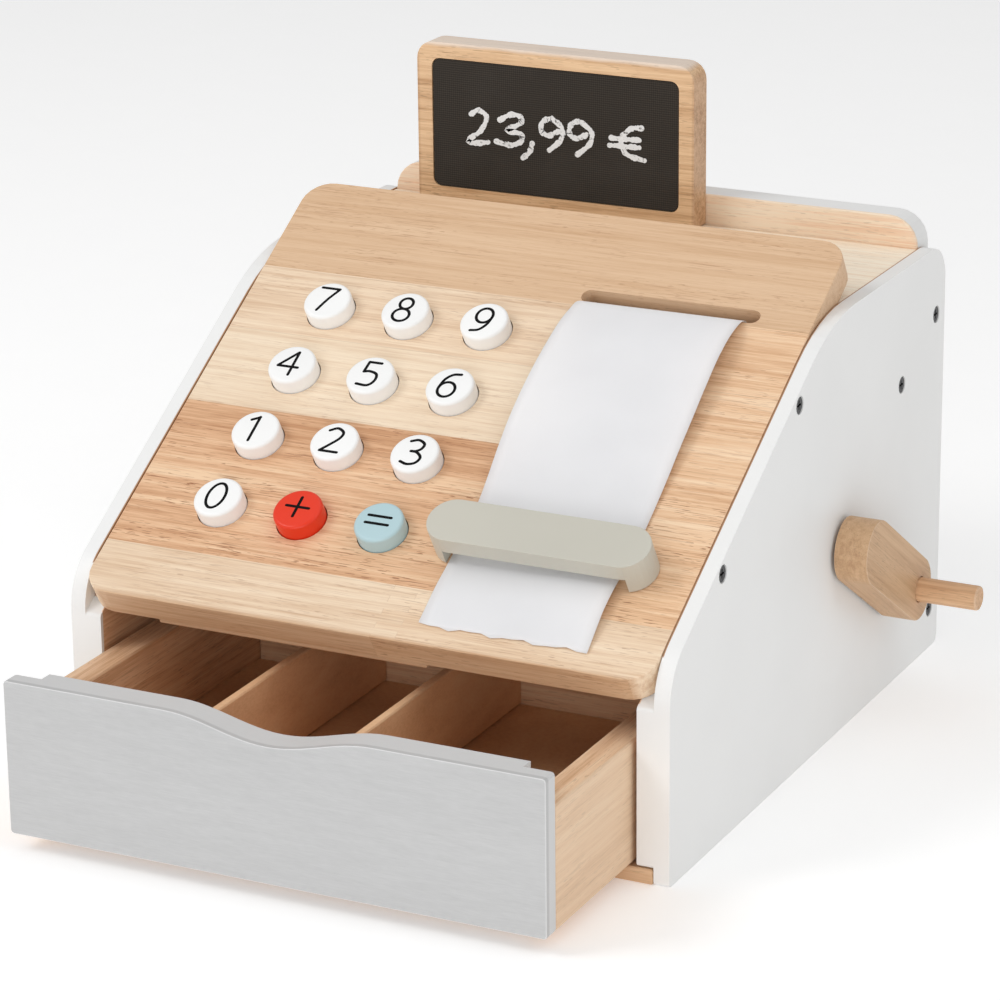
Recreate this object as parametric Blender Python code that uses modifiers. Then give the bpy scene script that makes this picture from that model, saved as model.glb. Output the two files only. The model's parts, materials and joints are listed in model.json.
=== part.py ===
"""Toy cash register: a wooden case with a sloping key panel, sprung number keys, a paper slot,
a price sign, a three-compartment drawer and a side crank whose pusher knocks the drawer open.

Metres, +Z up, front towards -Y, crank on +X. Origin: centre of the case's underside.
"""

import math

import bmesh
import bpy
from mathutils import Matrix, Vector

MM = 0.001

# --- driving dimensions -------------------------------------------------------------------------
CASE_WIDTH = 200 * MM
CASE_DEPTH = 220 * MM
CASE_HEIGHT = 139 * MM
SLOPE = math.radians(31.15)

SIDE_THICKNESS = 5 * MM  # in the rebates that hold the boards
SIDE_LEDGE = 5.4 * MM  # how much thicker a side is under the key panel
BOARD = 9.5 * MM  # every full-thickness board: key panel, back, shelf, drawer walls
THIN_BOARD = 4.7 * MM  # base board
GAP = 0.3 * MM  # between pieces that touch
EASE = 0.8 * MM  # rounding of a sanded edge

PANEL_FRONT_Y = -113.3 * MM  # top front edge of the key panel
PANEL_FRONT_Z = 63.9 * MM
PANEL_LENGTH = 177 * MM
PANEL_CORNER = 9 * MM
PANEL_EASE = 1.5 * MM

KEY_ROWS = ("0+=", "123", "456", "789")
KEY_NAMES = {"+": "plus", "=": "equals"}
KEY_FIRST_X = -62.9 * MM
KEY_FIRST_U = 38.5 * MM
KEY_PITCH_X = 27.7 * MM
KEY_PITCH_U = 27.9 * MM
KEY_RADIUS = 7.8 * MM
KEY_HEIGHT = 5.2 * MM  # how far a key stands out of the panel
KEY_ROUND = 1.1 * MM
KEY_CLEARANCE = 0.35 * MM
KEY_TRAVEL = 3 * MM
FLANGE_RADIUS = 10 * MM
FLANGE_THICKNESS = 2.2 * MM
FOAM_THICKNESS = 5.4 * MM
CARRIER_THICKNESS = 3 * MM
SPACER_WIDTH = 5 * MM

PAPER_X = 45.5 * MM
PAPER_WIDTH = 55 * MM
PAPER_THICKNESS = 0.4 * MM
SLOT_X = 47.1 * MM
SLOT_U = 142.1 * MM
SLOT_WIDTH = 60.3 * MM
SLOT_HEIGHT = 5.4 * MM
BAR_LENGTH = 72 * MM
BAR_WIDTH = 16 * MM
BAR_HEIGHT = 11.3 * MM
BAR_TUNNEL_WIDTH = 59.6 * MM
BAR_TUNNEL_HEIGHT = 5.5 * MM

BACK_FRONT_Y = 97 * MM
BACK_THICKNESS = 10.5 * MM
BACK_HEIGHT = 149 * MM
BACK_CORNER = 10 * MM
SHELF_TOP_Z = 138.8 * MM

SIGN_WIDTH = 101.2 * MM
SIGN_HEIGHT = 54.8 * MM
SIGN_THICKNESS = 10 * MM
SIGN_X = -30 * MM
SIGN_CORNER = 6 * MM
SIGN_FRAME = 5.4 * MM
SLATE_THICKNESS = 1.6 * MM
SLATE_CORNER = 3 * MM

DRAWER_OPEN = 56.7 * MM  # how far the drawer stands open in the rest pose
DRAWER_HALF_WIDTH = 88 * MM
DRAWER_LENGTH = 142.2 * MM  # plate front to back wall's rear
DRAWER_BOTTOM_Z = 5.6 * MM
DRAWER_WALL = 9.3 * MM
DRAWER_WALL_TOP_Z = 43.7 * MM
DRAWER_BACK_TOP_Z = 52.5 * MM
PLATE_THICKNESS = 10.5 * MM
PLATE_REBATE = 4.6 * MM
FRONT_EASE = 1.4 * MM
PLATE_TOP_Z = 53.8 * MM
FINGER_WAVE_WIDTH = 68 * MM
FINGER_WAVE_DEPTH = 5.6 * MM
DIVIDER_THICKNESS = 3 * MM
DIVIDER_X = (-33.5 * MM, 14.0 * MM)
STOP_X = (-75.6 * MM, 16.4 * MM)
STOP_FRONT_Y = -99 * MM
STOP_BOTTOM_Z = 50.6 * MM

CRANK_Y = 22.5 * MM
CRANK_Z = 61.5 * MM
ARM_RADIUS = 10.3 * MM
ARM_LENGTH = 44.8 * MM
ARM_ANGLE = math.radians(-33.2)  # arm direction in the YZ plane, from +Y
ARM_GAP = 1.2 * MM
ARM_THICKNESS = 11 * MM
DOWEL_RADIUS = 4 * MM
GRIP_REACH = 20.3 * MM  # grip length outside the arm
SHAFT_INNER_X = 62 * MM
PUSHER_X = 66 * MM
PUSHER_REACH = 24 * MM
PUSHER_HUB = 7.5 * MM
PUSHER_TIP = 4.5 * MM
BLOCK_SIZE = (13.4 * MM, 25 * MM, 20 * MM)
BLOCK_LOW_Z = 56 * MM

ROLL_Y = 40 * MM
ROLL_Z = 104 * MM
ROLL_RADIUS = 18 * MM
ROLL_CORE_RADIUS = 7.5 * MM
ROLL_BORE_RADIUS = 5 * MM
ROLL_DOWEL_RADIUS = 4.5 * MM
BRACKET_THICKNESS = 6 * MM
BRACKET_LOW_Z = 92 * MM
BRACKET_HIGH_Z = 112 * MM
RAIL_Y = 72 * MM
RAIL_Z = 100.7 * MM
RAIL_HEIGHT = 30 * MM

SCREW_HEAD_RADIUS = 2.6 * MM
SCREW_SHANK_RADIUS = 1.2 * MM
SCREW_LENGTH = 17 * MM
SCREW_SINK = 0.3 * MM

# --- worked out from the above ------------------------------------------------------------------
REBATE_X = CASE_WIDTH / 2 - SIDE_THICKNESS
LEDGE_X = REBATE_X - SIDE_LEDGE
BOARD_HALF = REBATE_X - GAP
FRONT_Y = -CASE_DEPTH / 2
PLATE_FRONT_Y = FRONT_Y - DRAWER_OPEN
PLATE_REAR_Y = PLATE_FRONT_Y + PLATE_THICKNESS
DRAWER_REAR_Y = PLATE_FRONT_Y + DRAWER_LENGTH
DRAWER_INNER = DRAWER_HALF_WIDTH - DRAWER_WALL
FLOOR_TOP_Z = DRAWER_BOTTOM_Z + GAP + BOARD
FLANGE_TOP = -BOARD - GAP
FOAM_TOP = FLANGE_TOP - FLANGE_THICKNESS - GAP
CARRIER_TOP = FOAM_TOP - FOAM_THICKNESS - GAP
PANEL_U_AXIS = Vector((0, math.cos(SLOPE), math.sin(SLOPE)))
PANEL_NORMAL = Vector((0, -math.sin(SLOPE), math.cos(SLOPE)))
PANEL_ORIGIN = Vector((0, PANEL_FRONT_Y, PANEL_FRONT_Z))
ARM_INNER_X = CASE_WIDTH / 2 + ARM_GAP
ARM_OUTER_X = ARM_INNER_X + ARM_THICKNESS

# screw places on a side panel, as (y, z): two in the key panel, one in the rail, two in the back
SCREW_PLACES = (
    (-72.3 * MM, 84.3 * MM),
    (-14.6 * MM, 118.9 * MM),
    (RAIL_Y, RAIL_Z),
    (102.3 * MM, 116.1 * MM),
    (102.3 * MM, 14.2 * MM),
)


# --- collections, materials, bare objects ---------------------------------------------------------
def clear_scene():
    for old in list(bpy.data.objects):
        bpy.data.objects.remove(old, do_unlink=True)


def new_collection(name):
    found = bpy.data.collections.new(name)
    bpy.context.scene.collection.children.link(found)
    return found


def make_material(name, colour, roughness, metallic=0.0):
    made = bpy.data.materials.new(name)
    made.use_nodes = True
    shader = made.node_tree.nodes["Principled BSDF"]
    shader.inputs["Base Color"].default_value = (*colour, 1.0)
    shader.inputs["Roughness"].default_value = roughness
    shader.inputs["Metallic"].default_value = metallic
    made.diffuse_color = (*colour, 1.0)
    return made


clear_scene()
PARTS = new_collection("toy_cash_register")
CUTTERS = new_collection("cutters")

WOOD = make_material("natural_wood", (0.80, 0.58, 0.36), 0.55)
BEECH = make_material("beech", (0.62, 0.40, 0.22), 0.5)
WHITE_PAINT = make_material("white_paint", (0.86, 0.86, 0.84), 0.45)
GREY_STAIN = make_material("grey_stain", (0.60, 0.60, 0.60), 0.5)
SAGE_PAINT = make_material("sage_paint", (0.58, 0.58, 0.50), 0.5)
SLATE = make_material("slate", (0.03, 0.027, 0.025), 0.85)
PAPER = make_material("paper", (0.93, 0.93, 0.95), 0.8)
CARD = make_material("card", (0.45, 0.33, 0.22), 0.85)
FOAM = make_material("foam", (0.16, 0.16, 0.17), 0.95)
KEY_WHITE = make_material("key_white", (0.90, 0.90, 0.90), 0.4)
KEY_RED = make_material("key_red", (0.80, 0.05, 0.03), 0.4)
KEY_BLUE = make_material("key_blue", (0.42, 0.67, 0.74), 0.4)
DARK_STEEL = make_material("dark_steel", (0.10, 0.10, 0.10), 0.4, 1.0)
KEY_COLOURS = {"+": KEY_RED, "=": KEY_BLUE}


def link_part(name, mesh, material, parent=None):
    made = bpy.data.objects.new(name, mesh)
    PARTS.objects.link(made)
    if not mesh.materials:
        mesh.materials.append(material)
    made.parent = parent
    return made


def add_empty(name, matrix):
    made = bpy.data.objects.new(name, None)
    PARTS.objects.link(made)
    made.matrix_world = matrix
    return made


def finish_mesh(name, bm):
    bmesh.ops.recalc_face_normals(bm, faces=bm.faces)
    mesh = bpy.data.meshes.new(name)
    bm.to_mesh(mesh)
    bm.free()
    return mesh


# --- shapes -----------------------------------------------------------------------------------------
def box_mesh(name, low, high):
    """A box from its lowest to its highest corner."""
    bm = bmesh.new()
    size = [b - a for a, b in zip(low, high)]
    centre = [(a + b) / 2 for a, b in zip(low, high)]
    bmesh.ops.create_cube(bm, size=1.0)
    bmesh.ops.scale(bm, vec=size, verts=bm.verts)
    bmesh.ops.translate(bm, vec=centre, verts=bm.verts)
    return finish_mesh(name, bm)


def cylinder_mesh(name, radius, start, end, sides=32, far_radius=None):
    """A cylinder, or a cone frustum, between two points."""
    start, end = Vector(start), Vector(end)
    along = end - start
    turn = along.to_track_quat("Z", "Y").to_matrix().to_4x4()
    place = Matrix.Translation((start + end) / 2) @ turn
    bm = bmesh.new()
    bmesh.ops.create_cone(
        bm,
        cap_ends=True,
        segments=sides,
        radius1=radius,
        radius2=radius if far_radius is None else far_radius,
        depth=along.length,
        matrix=place,
    )
    return finish_mesh(name, bm)


def rounded(corners, step=math.radians(15)):
    """A closed outline whose corners, given as (a, b, radius), become arcs."""
    outline = []
    count = len(corners)
    for i, (a, b, radius) in enumerate(corners):
        here = Vector((a, b))
        back = Vector(corners[i - 1][:2]) - here
        ahead = Vector(corners[(i + 1) % count][:2]) - here
        back.normalize()
        ahead.normalize()
        opening = back.angle(ahead)
        if radius <= 0 or abs(opening - math.pi) < 1e-4:
            outline.append(here)
            continue
        centre = here + (back + ahead).normalized() * radius / math.sin(opening / 2)
        first = here + back * radius / math.tan(opening / 2) - centre
        sweep = first.angle_signed(here + ahead * radius / math.tan(opening / 2) - centre)
        steps = max(2, round(abs(sweep) / step))
        for k in range(steps + 1):
            turned = Matrix.Rotation(-sweep * k / steps, 2) @ first
            outline.append(centre + turned)
    return outline


def stadium(length, width, steps=10):
    """A slot-shaped outline along its first axis, centred on the origin."""
    radius = width / 2
    straight = length / 2 - radius
    outline = []
    for side in (1, -1):
        for k in range(steps + 1):
            angle = -math.pi / 2 + math.pi * k / steps
            outline.append(
                Vector((side * (straight + radius * math.cos(angle)), side * radius * math.sin(angle)))
            )
    return outline


def taper(length, near, far, steps=12):
    """The outline around two circles: one at the origin, one at (length, 0)."""
    lean = math.asin((near - far) / length)
    outline = []
    for centre, radius, start in ((0, near, math.pi / 2 - lean), (length, far, -math.pi / 2 + lean)):
        sweep = math.pi + 2 * lean if centre == 0 else math.pi - 2 * lean
        for k in range(steps + 1):
            angle = start + sweep * k / steps
            outline.append(Vector((centre + radius * math.cos(angle), radius * math.sin(angle))))
    return outline


def plate_mesh(name, outline, thickness):
    """A flat outline in the XY plane, extruded to this thickness about z = 0."""
    curve = bpy.data.curves.new(name + "_outline", "CURVE")
    curve.dimensions = "2D"
    curve.fill_mode = "BOTH"
    curve.extrude = thickness / 2
    spline = curve.splines.new("POLY")
    spline.points.add(len(outline) - 1)
    for point, place in zip(spline.points, outline):
        point.co = (place[0], place[1], 0, 1)
    spline.use_cyclic_u = True
    guide = bpy.data.objects.new(name + "_outline", curve)
    CUTTERS.objects.link(guide)
    evaluated = guide.evaluated_get(bpy.context.evaluated_depsgraph_get())
    mesh = bpy.data.meshes.new_from_object(evaluated)
    bpy.data.objects.remove(guide, do_unlink=True)
    bm = bmesh.new()
    bm.from_mesh(mesh)
    bmesh.ops.remove_doubles(bm, verts=bm.verts, dist=0.02 * MM)
    bpy.data.meshes.remove(mesh)
    return finish_mesh(name, bm)


# planes in which outlines are drawn: the matrix takes the outline's XY plane there
IN_YZ = Matrix(((0, 0, 1, 0), (1, 0, 0, 0), (0, 1, 0, 0), (0, 0, 0, 1)))
IN_XZ = Matrix(((1, 0, 0, 0), (0, 0, -1, 0), (0, 1, 0, 0), (0, 0, 0, 1)))


def placed(mesh, matrix):
    mesh.transform(matrix)
    return mesh


def yz_plate(name, outline, x_low, x_high):
    """A plate whose outline is (y, z) and which spans x_low to x_high."""
    middle = Matrix.Translation(((x_low + x_high) / 2, 0, 0))
    return placed(plate_mesh(name, outline, x_high - x_low), middle @ IN_YZ)


def xz_plate(name, outline, y_low, y_high):
    """A plate whose outline is (x, z) and which spans y_low to y_high."""
    middle = Matrix.Translation((0, (y_low + y_high) / 2, 0))
    return placed(plate_mesh(name, outline, y_high - y_low), middle @ IN_XZ)


def turned_mesh(name, profile, steps=28):
    """A solid turned about Z from an (r, z) profile that runs from the top down its outer side."""
    mesh = bpy.data.meshes.new(name + "_profile")
    points = [(r, 0, z) for r, z in profile]
    edges = [(i, i + 1) for i in range(len(points) - 1)]
    mesh.from_pydata(points, edges, [])
    guide = bpy.data.objects.new(name + "_profile", mesh)
    CUTTERS.objects.link(guide)
    screw = guide.modifiers.new("turn", "SCREW")
    screw.steps = steps
    screw.render_steps = steps
    screw.use_merge_vertices = True
    screw.merge_threshold = 0.01 * MM
    evaluated = guide.evaluated_get(bpy.context.evaluated_depsgraph_get())
    made = bpy.data.meshes.new_from_object(evaluated)
    bpy.data.objects.remove(guide, do_unlink=True)
    bpy.data.meshes.remove(mesh)
    bm = bmesh.new()
    bm.from_mesh(made)
    bpy.data.meshes.remove(made)
    bmesh.ops.remove_doubles(bm, verts=bm.verts, dist=0.01 * MM)
    return finish_mesh(name, bm)


def quarter_arc(centre_r, centre_z, radius, steps=4):
    """Profile points of a rounded shoulder, from straight up round to straight out."""
    return [
        (
            centre_r + radius * math.sin(math.pi / 2 * k / steps),
            centre_z + radius * math.cos(math.pi / 2 * k / steps),
        )
        for k in range(steps + 1)
    ]


def smooth_shade(made):
    made.data.shade_smooth()
    made.data.set_sharp_from_angle(angle=math.radians(35))


# --- modifiers ----------------------------------------------------------------------------------------
def ease_edges(made, width=EASE, segments=2):
    bevel = made.modifiers.new("eased_edges", "BEVEL")
    bevel.width = width
    bevel.segments = segments
    bevel.limit_method = "ANGLE"
    bevel.angle_limit = math.radians(50)
    bevel.use_clamp_overlap = True
    return made


def add_cutter(name, mesh, parent=None):
    made = bpy.data.objects.new(name, mesh)
    CUTTERS.objects.link(made)
    made.parent = parent
    made.hide_render = True
    made.display_type = "WIRE"
    return made


def cut(made, cutter, operation="DIFFERENCE"):
    boolean = made.modifiers.new("cut_" + cutter.name, "BOOLEAN")
    boolean.operation = operation
    boolean.solver = "EXACT"
    boolean.object = cutter
    return made


# --- the case -------------------------------------------------------------------------------------------
def underside_z(y):
    """Height of the key panel's lower face above a point at this depth."""
    return PANEL_FRONT_Z - BOARD / math.cos(SLOPE) + (y - PANEL_FRONT_Y) * math.tan(SLOPE)


def underside_y(z):
    return PANEL_FRONT_Y + (z - PANEL_FRONT_Z + BOARD / math.cos(SLOPE)) / math.tan(SLOPE)


def side_outline():
    """The side panels' profile, as (y, z): straight front, slope, level top, rounded back."""
    slope_start_z = PANEL_FRONT_Z + (FRONT_Y - PANEL_FRONT_Y) * math.tan(SLOPE)
    slope_end_y = FRONT_Y + (CASE_HEIGHT - slope_start_z) / math.tan(SLOPE)
    return rounded(
        (
            (FRONT_Y, 0, 1.5 * MM),
            (-FRONT_Y, 0, 3 * MM),
            (-FRONT_Y, CASE_HEIGHT, 12.5 * MM),
            (slope_end_y, CASE_HEIGHT, 68 * MM),
            (FRONT_Y, slope_start_z, 20 * MM),
        ),
        step=math.radians(5),
    )


def screw_cutter(side, index, place):
    """The countersunk hole for one screw, through the side panel and into the board behind it."""
    y, z = place
    outer = side * CASE_WIDTH / 2
    head = SCREW_HEAD_RADIUS + GAP
    shank = SCREW_SHANK_RADIUS + GAP
    tip = outer - side * (SCREW_LENGTH + SCREW_SINK + GAP)
    label = f"screw_hole_{'left' if side < 0 else 'right'}_{index + 1}"
    profile = [
        (0, 1 * MM),
        (head, 1 * MM),
        (head, -SCREW_SINK - 0.4 * MM),
        (shank, -SCREW_SINK - 2.2 * MM),
        (shank, -abs(tip - outer)),
        (0, -abs(tip - outer)),
    ]
    mesh = turned_mesh(label, profile, steps=16)
    facing = Matrix.Rotation(side * math.pi / 2, 4, "Y")
    return add_cutter(label, placed(mesh, Matrix.Translation((outer, y, z)) @ facing))


def ledge_outline():
    """The thick part of a side, as (y, z): it ends where the boards let into the side begin."""
    low_z = THIN_BOARD + GAP
    high_z = SHELF_TOP_Z - BOARD - GAP
    rear_y = BACK_FRONT_Y - GAP
    drop = GAP / math.cos(SLOPE)
    return rounded(
        (
            (FRONT_Y, low_z, 1.5 * MM),
            (rear_y, low_z, 0),
            (rear_y, high_z, 0),
            (underside_y(high_z + drop), high_z, 0),
            (FRONT_Y, underside_z(FRONT_Y) - drop, 1.5 * MM),
        )
    )


def make_sides():
    """Both sides: a thin outline with a thicker ledge inside, on which the key panel lies."""
    holes = {}
    panels = {}
    for side, label in ((-1, "left"), (1, "right")):
        low, high = sorted((side * REBATE_X, side * CASE_WIDTH / 2))
        mesh = yz_plate(label + "_side_panel", side_outline(), low, high)
        panel = ease_edges(link_part(label + "_side_panel", mesh, WHITE_PAINT))
        low, high = sorted((side * LEDGE_X, side * (CASE_WIDTH / 2 - 2 * MM)))
        ledge = add_cutter(label + "_ledge", yz_plate(label + "_ledge", ledge_outline(), low, high))
        cut(panel, ease_edges(ledge), "UNION")
        holes[side] = [screw_cutter(side, i, place) for i, place in enumerate(SCREW_PLACES)]
        for hole in holes[side]:
            cut(panel, hole)
        panels[side] = panel
    axle = cylinder_mesh(
        "crank_hole",
        DOWEL_RADIUS + 0.4 * MM,
        (LEDGE_X - BLOCK_SIZE[0] - 5 * MM, CRANK_Y, CRANK_Z),
        (CASE_WIDTH / 2 + 0.5 * MM, CRANK_Y, CRANK_Z),
    )
    crank_hole = add_cutter("crank_hole", axle)
    cut(panels[1], crank_hole)
    return holes, crank_hole


def make_case(holes):
    """Base board, back panel, shelf, inner rail and the drawer's stop."""
    base = box_mesh(
        "base_board", (-BOARD_HALF, FRONT_Y, 0), (BOARD_HALF, BACK_FRONT_Y - GAP, THIN_BOARD)
    )
    ease_edges(link_part("base_board", base, WOOD), 0.4 * MM, 1)

    back_outline = rounded(
        (
            (-BOARD_HALF, 0, 0),
            (BOARD_HALF, 0, 0),
            (BOARD_HALF, BACK_HEIGHT, BACK_CORNER),
            (-BOARD_HALF, BACK_HEIGHT, BACK_CORNER),
        )
    )
    mesh = xz_plate("back_panel", back_outline, BACK_FRONT_Y, BACK_FRONT_Y + BACK_THICKNESS)
    back = ease_edges(link_part("back_panel", mesh, WOOD))

    shelf_low = SHELF_TOP_Z - BOARD
    slant = GAP / math.sin(SLOPE)
    shelf_outline = [
        Vector((underside_y(shelf_low) + slant, shelf_low)),
        Vector((BACK_FRONT_Y - GAP, shelf_low)),
        Vector((BACK_FRONT_Y - GAP, SHELF_TOP_Z)),
        Vector((underside_y(SHELF_TOP_Z) + slant, SHELF_TOP_Z)),
    ]
    shelf = yz_plate("top_board", shelf_outline, -BOARD_HALF, BOARD_HALF)
    ease_edges(link_part("top_board", shelf, WOOD), 0.4 * MM, 1)

    rail_half = LEDGE_X - GAP
    rail_mesh = box_mesh(
        "inner_rail",
        (-rail_half, RAIL_Y - BOARD / 2, RAIL_Z - RAIL_HEIGHT / 2),
        (rail_half, RAIL_Y + BOARD / 2, RAIL_Z + RAIL_HEIGHT / 2),
    )
    rail = ease_edges(link_part("inner_rail", rail_mesh, WOOD), 0.4 * MM, 1)
    for side in (-1, 1):
        cut(rail, holes[side][2])
        cut(back, holes[side][3])
        cut(back, holes[side][4])

    stop_outline = [
        Vector((STOP_FRONT_Y, STOP_BOTTOM_Z)),
        Vector((STOP_FRONT_Y + BOARD, STOP_BOTTOM_Z)),
        Vector((STOP_FRONT_Y + BOARD, underside_z(STOP_FRONT_Y + BOARD) - GAP)),
        Vector((STOP_FRONT_Y, underside_z(STOP_FRONT_Y) - GAP)),
    ]
    stop = yz_plate("drawer_stop_batten", stop_outline, *STOP_X)
    ease_edges(link_part("drawer_stop_batten", stop, WOOD), 0.4 * MM, 1)


# --- the key panel, in its own sloping frame: x across, y up the slope, z out of the panel ------------
def key_places():
    for row, symbols in enumerate(KEY_ROWS):
        for column, symbol in enumerate(symbols):
            x = KEY_FIRST_X + column * KEY_PITCH_X
            u = KEY_FIRST_U + row * KEY_PITCH_U
            yield symbol, x, u


def make_panel(slope_frame, holes):
    corner = PANEL_CORNER
    outline = rounded(
        (
            (-BOARD_HALF, 0, corner),
            (BOARD_HALF, 0, corner),
            (BOARD_HALF, PANEL_LENGTH, corner),
            (-BOARD_HALF, PANEL_LENGTH, corner),
        )
    )
    mesh = plate_mesh("key_panel", outline, BOARD)
    panel = link_part("key_panel", placed(mesh, Matrix.Translation((0, 0, -BOARD / 2))), WOOD)
    panel.parent = slope_frame
    ease_edges(panel, PANEL_EASE, 3)
    for symbol, x, u in key_places():
        name = "key_hole_" + KEY_NAMES.get(symbol, symbol)
        hole = cylinder_mesh(
            name, KEY_RADIUS + KEY_CLEARANCE, (x, u, -BOARD - 1 * MM), (x, u, 1 * MM), sides=28
        )
        cut(panel, add_cutter(name, hole, slope_frame))
    slot = plate_mesh("paper_slot", stadium(SLOT_WIDTH, SLOT_HEIGHT, 8), 2.5 * BOARD)
    cut(panel, add_cutter("paper_slot", placed(slot, Matrix.Translation((SLOT_X, SLOT_U, 0))), slope_frame))
    for side in (-1, 1):
        cut(panel, holes[side][0])
        cut(panel, holes[side][1])


def key_profile():
    """A key's outer side, from the middle of its face down to the underside of its flange."""
    shoulder = quarter_arc(KEY_RADIUS - KEY_ROUND, KEY_HEIGHT - KEY_ROUND, KEY_ROUND)
    bottom = FLANGE_TOP - FLANGE_THICKNESS
    return [
        (0, KEY_HEIGHT),
        *shoulder,
        (KEY_RADIUS, FLANGE_TOP),
        (FLANGE_RADIUS, FLANGE_TOP),
        (FLANGE_RADIUS, bottom),
        (0, bottom),
    ]


def make_keys(slope_frame):
    """Twelve keys, each with its origin on its own axis at the panel's face."""
    for symbol, x, u in key_places():
        name = "key_" + KEY_NAMES.get(symbol, symbol)
        material = KEY_COLOURS.get(symbol, KEY_WHITE)
        key = link_part(name, turned_mesh(name, key_profile()), material, slope_frame)
        key.location = (x, u, 0)
        smooth_shade(key)


def make_key_bed(slope_frame):
    """Under the panel: two spacers, the carrier board and the foam sheet that returns the keys."""
    low_u = KEY_FIRST_U - KEY_PITCH_U / 2 + 2.5 * MM
    high_u = KEY_FIRST_U + 3.5 * KEY_PITCH_U - 2.5 * MM
    foam_low_x = KEY_FIRST_X - FLANGE_RADIUS - 2.1 * MM
    foam_high_x = KEY_FIRST_X + 2 * KEY_PITCH_X + FLANGE_RADIUS + 1.1 * MM
    carrier_low_x = foam_low_x - GAP - SPACER_WIDTH
    carrier_high_x = foam_high_x + GAP + SPACER_WIDTH
    pieces = (
        ("left_key_spacer", carrier_low_x, foam_low_x - GAP, CARRIER_TOP + GAP, FLANGE_TOP, WOOD),
        ("right_key_spacer", foam_high_x + GAP, carrier_high_x, CARRIER_TOP + GAP, FLANGE_TOP, WOOD),
        ("key_return_foam", foam_low_x, foam_high_x, FOAM_TOP - FOAM_THICKNESS, FOAM_TOP, FOAM),
        ("key_carrier", carrier_low_x, carrier_high_x, CARRIER_TOP - CARRIER_THICKNESS, CARRIER_TOP, WOOD),
    )
    for name, low_x, high_x, low_h, high_h, material in pieces:
        mesh = box_mesh(name, (low_x, low_u, low_h), (high_x, high_u, high_h))
        link_part(name, mesh, material, slope_frame)


def make_paper_bar(slope_frame):
    """The bridge that the paper runs under."""
    mesh = plate_mesh("paper_bar", stadium(BAR_LENGTH, BAR_WIDTH, 14), BAR_HEIGHT)
    bar = link_part("paper_bar", mesh, SAGE_PAINT, slope_frame)
    bar.location = (SLOT_X, KEY_FIRST_U, GAP + BAR_HEIGHT / 2)
    ease_edges(bar, 0.5 * MM)
    half = BAR_TUNNEL_WIDTH / 2
    tunnel = box_mesh(
        "bar_tunnel",
        (SLOT_X - half, KEY_FIRST_U - BAR_WIDTH, -1 * MM),
        (SLOT_X + half, KEY_FIRST_U + BAR_WIDTH, GAP + BAR_TUNNEL_HEIGHT),
    )
    cut(bar, add_cutter("bar_tunnel", tunnel, slope_frame))


# --- paper ------------------------------------------------------------------------------------------------
def on_panel(u, h):
    """The (y, z) of a point u up the slope and h above the panel."""
    place = PANEL_ORIGIN + PANEL_U_AXIS * u + PANEL_NORMAL * h
    return Vector((place.y, place.z))


def spline_through(points, steps):
    """A Catmull-Rom curve through these points."""
    ends = [2 * points[0] - points[1], *points, 2 * points[-1] - points[-2]]
    found = []
    for i in range(len(points) - 1):
        a, b, c, d = ends[i : i + 4]
        for k in range(steps):
            t = k / steps
            found.append(
                0.5
                * (2 * b + (c - a) * t + (2 * a - 5 * b + 4 * c - d) * t**2 + (3 * b - 3 * c + d - a) * t**3)
            )
    return [*found, points[-1]]


def paper_route():
    """The receipt's centre line, as (y, z): off the roll, through the slot, an arch, under the bar."""
    leave = math.radians(202)
    reach = ROLL_RADIUS + GAP + PAPER_THICKNESS / 2
    off_roll = Vector((ROLL_Y + reach * math.cos(leave), ROLL_Z + reach * math.sin(leave)))
    slot_u = SLOT_U - 1.3 * MM
    flat = GAP + PAPER_THICKNESS / 2 + 0.05 * MM
    route = [
        off_roll,
        off_roll.lerp(on_panel(slot_u - 0.4 * MM, -BOARD), 0.5),
        on_panel(slot_u - 0.4 * MM, -BOARD),
        on_panel(slot_u, -1 * MM),
        on_panel(SLOT_U - 5.5 * MM, 3.2 * MM),
        on_panel(SLOT_U - 16 * MM, 5.8 * MM),
        on_panel(SLOT_U - 34 * MM, 6.6 * MM),
        on_panel(SLOT_U - 54 * MM, 5.2 * MM),
        on_panel(SLOT_U - 74 * MM, 2 * MM),
        on_panel(KEY_FIRST_U + 16 * MM, flat + 0.2 * MM),
        on_panel(KEY_FIRST_U, flat),
        on_panel(KEY_FIRST_U - 16 * MM, flat + 0.5 * MM),
        on_panel(KEY_FIRST_U - 31 * MM, flat),
    ]
    return spline_through(route, 4)


def make_paper():
    """The receipt strip as a thin solid: its centre line thickened both ways, spanning its width."""
    route = paper_route()
    upper, lower = [], []
    for i, here in enumerate(route):
        along = (route[min(i + 1, len(route) - 1)] - route[max(i - 1, 0)]).normalized()
        across = Vector((-along.y, along.x)) * PAPER_THICKNESS / 2
        upper.append(here + across)
        lower.append(here - across)
    outline = upper + lower[::-1]
    half = PAPER_WIDTH / 2
    bm = bmesh.new()
    left = [bm.verts.new((PAPER_X - half, p.x, p.y)) for p in outline]
    right = [bm.verts.new((PAPER_X + half, p.x, p.y)) for p in outline]
    count = len(outline)
    for i in range(count):
        bm.faces.new((left[i], left[(i + 1) % count], right[(i + 1) % count], right[i]))
    for i in range(len(route) - 1):
        for edge in (left, right):
            bm.faces.new((edge[i], edge[i + 1], edge[count - 2 - i], edge[count - 1 - i]))
    link_part("receipt_paper", finish_mesh("receipt_paper", bm), PAPER)


def ring_profile(inner, outer, length):
    return [(inner, length / 2), (outer, length / 2), (outer, -length / 2), (inner, -length / 2)]


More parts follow.
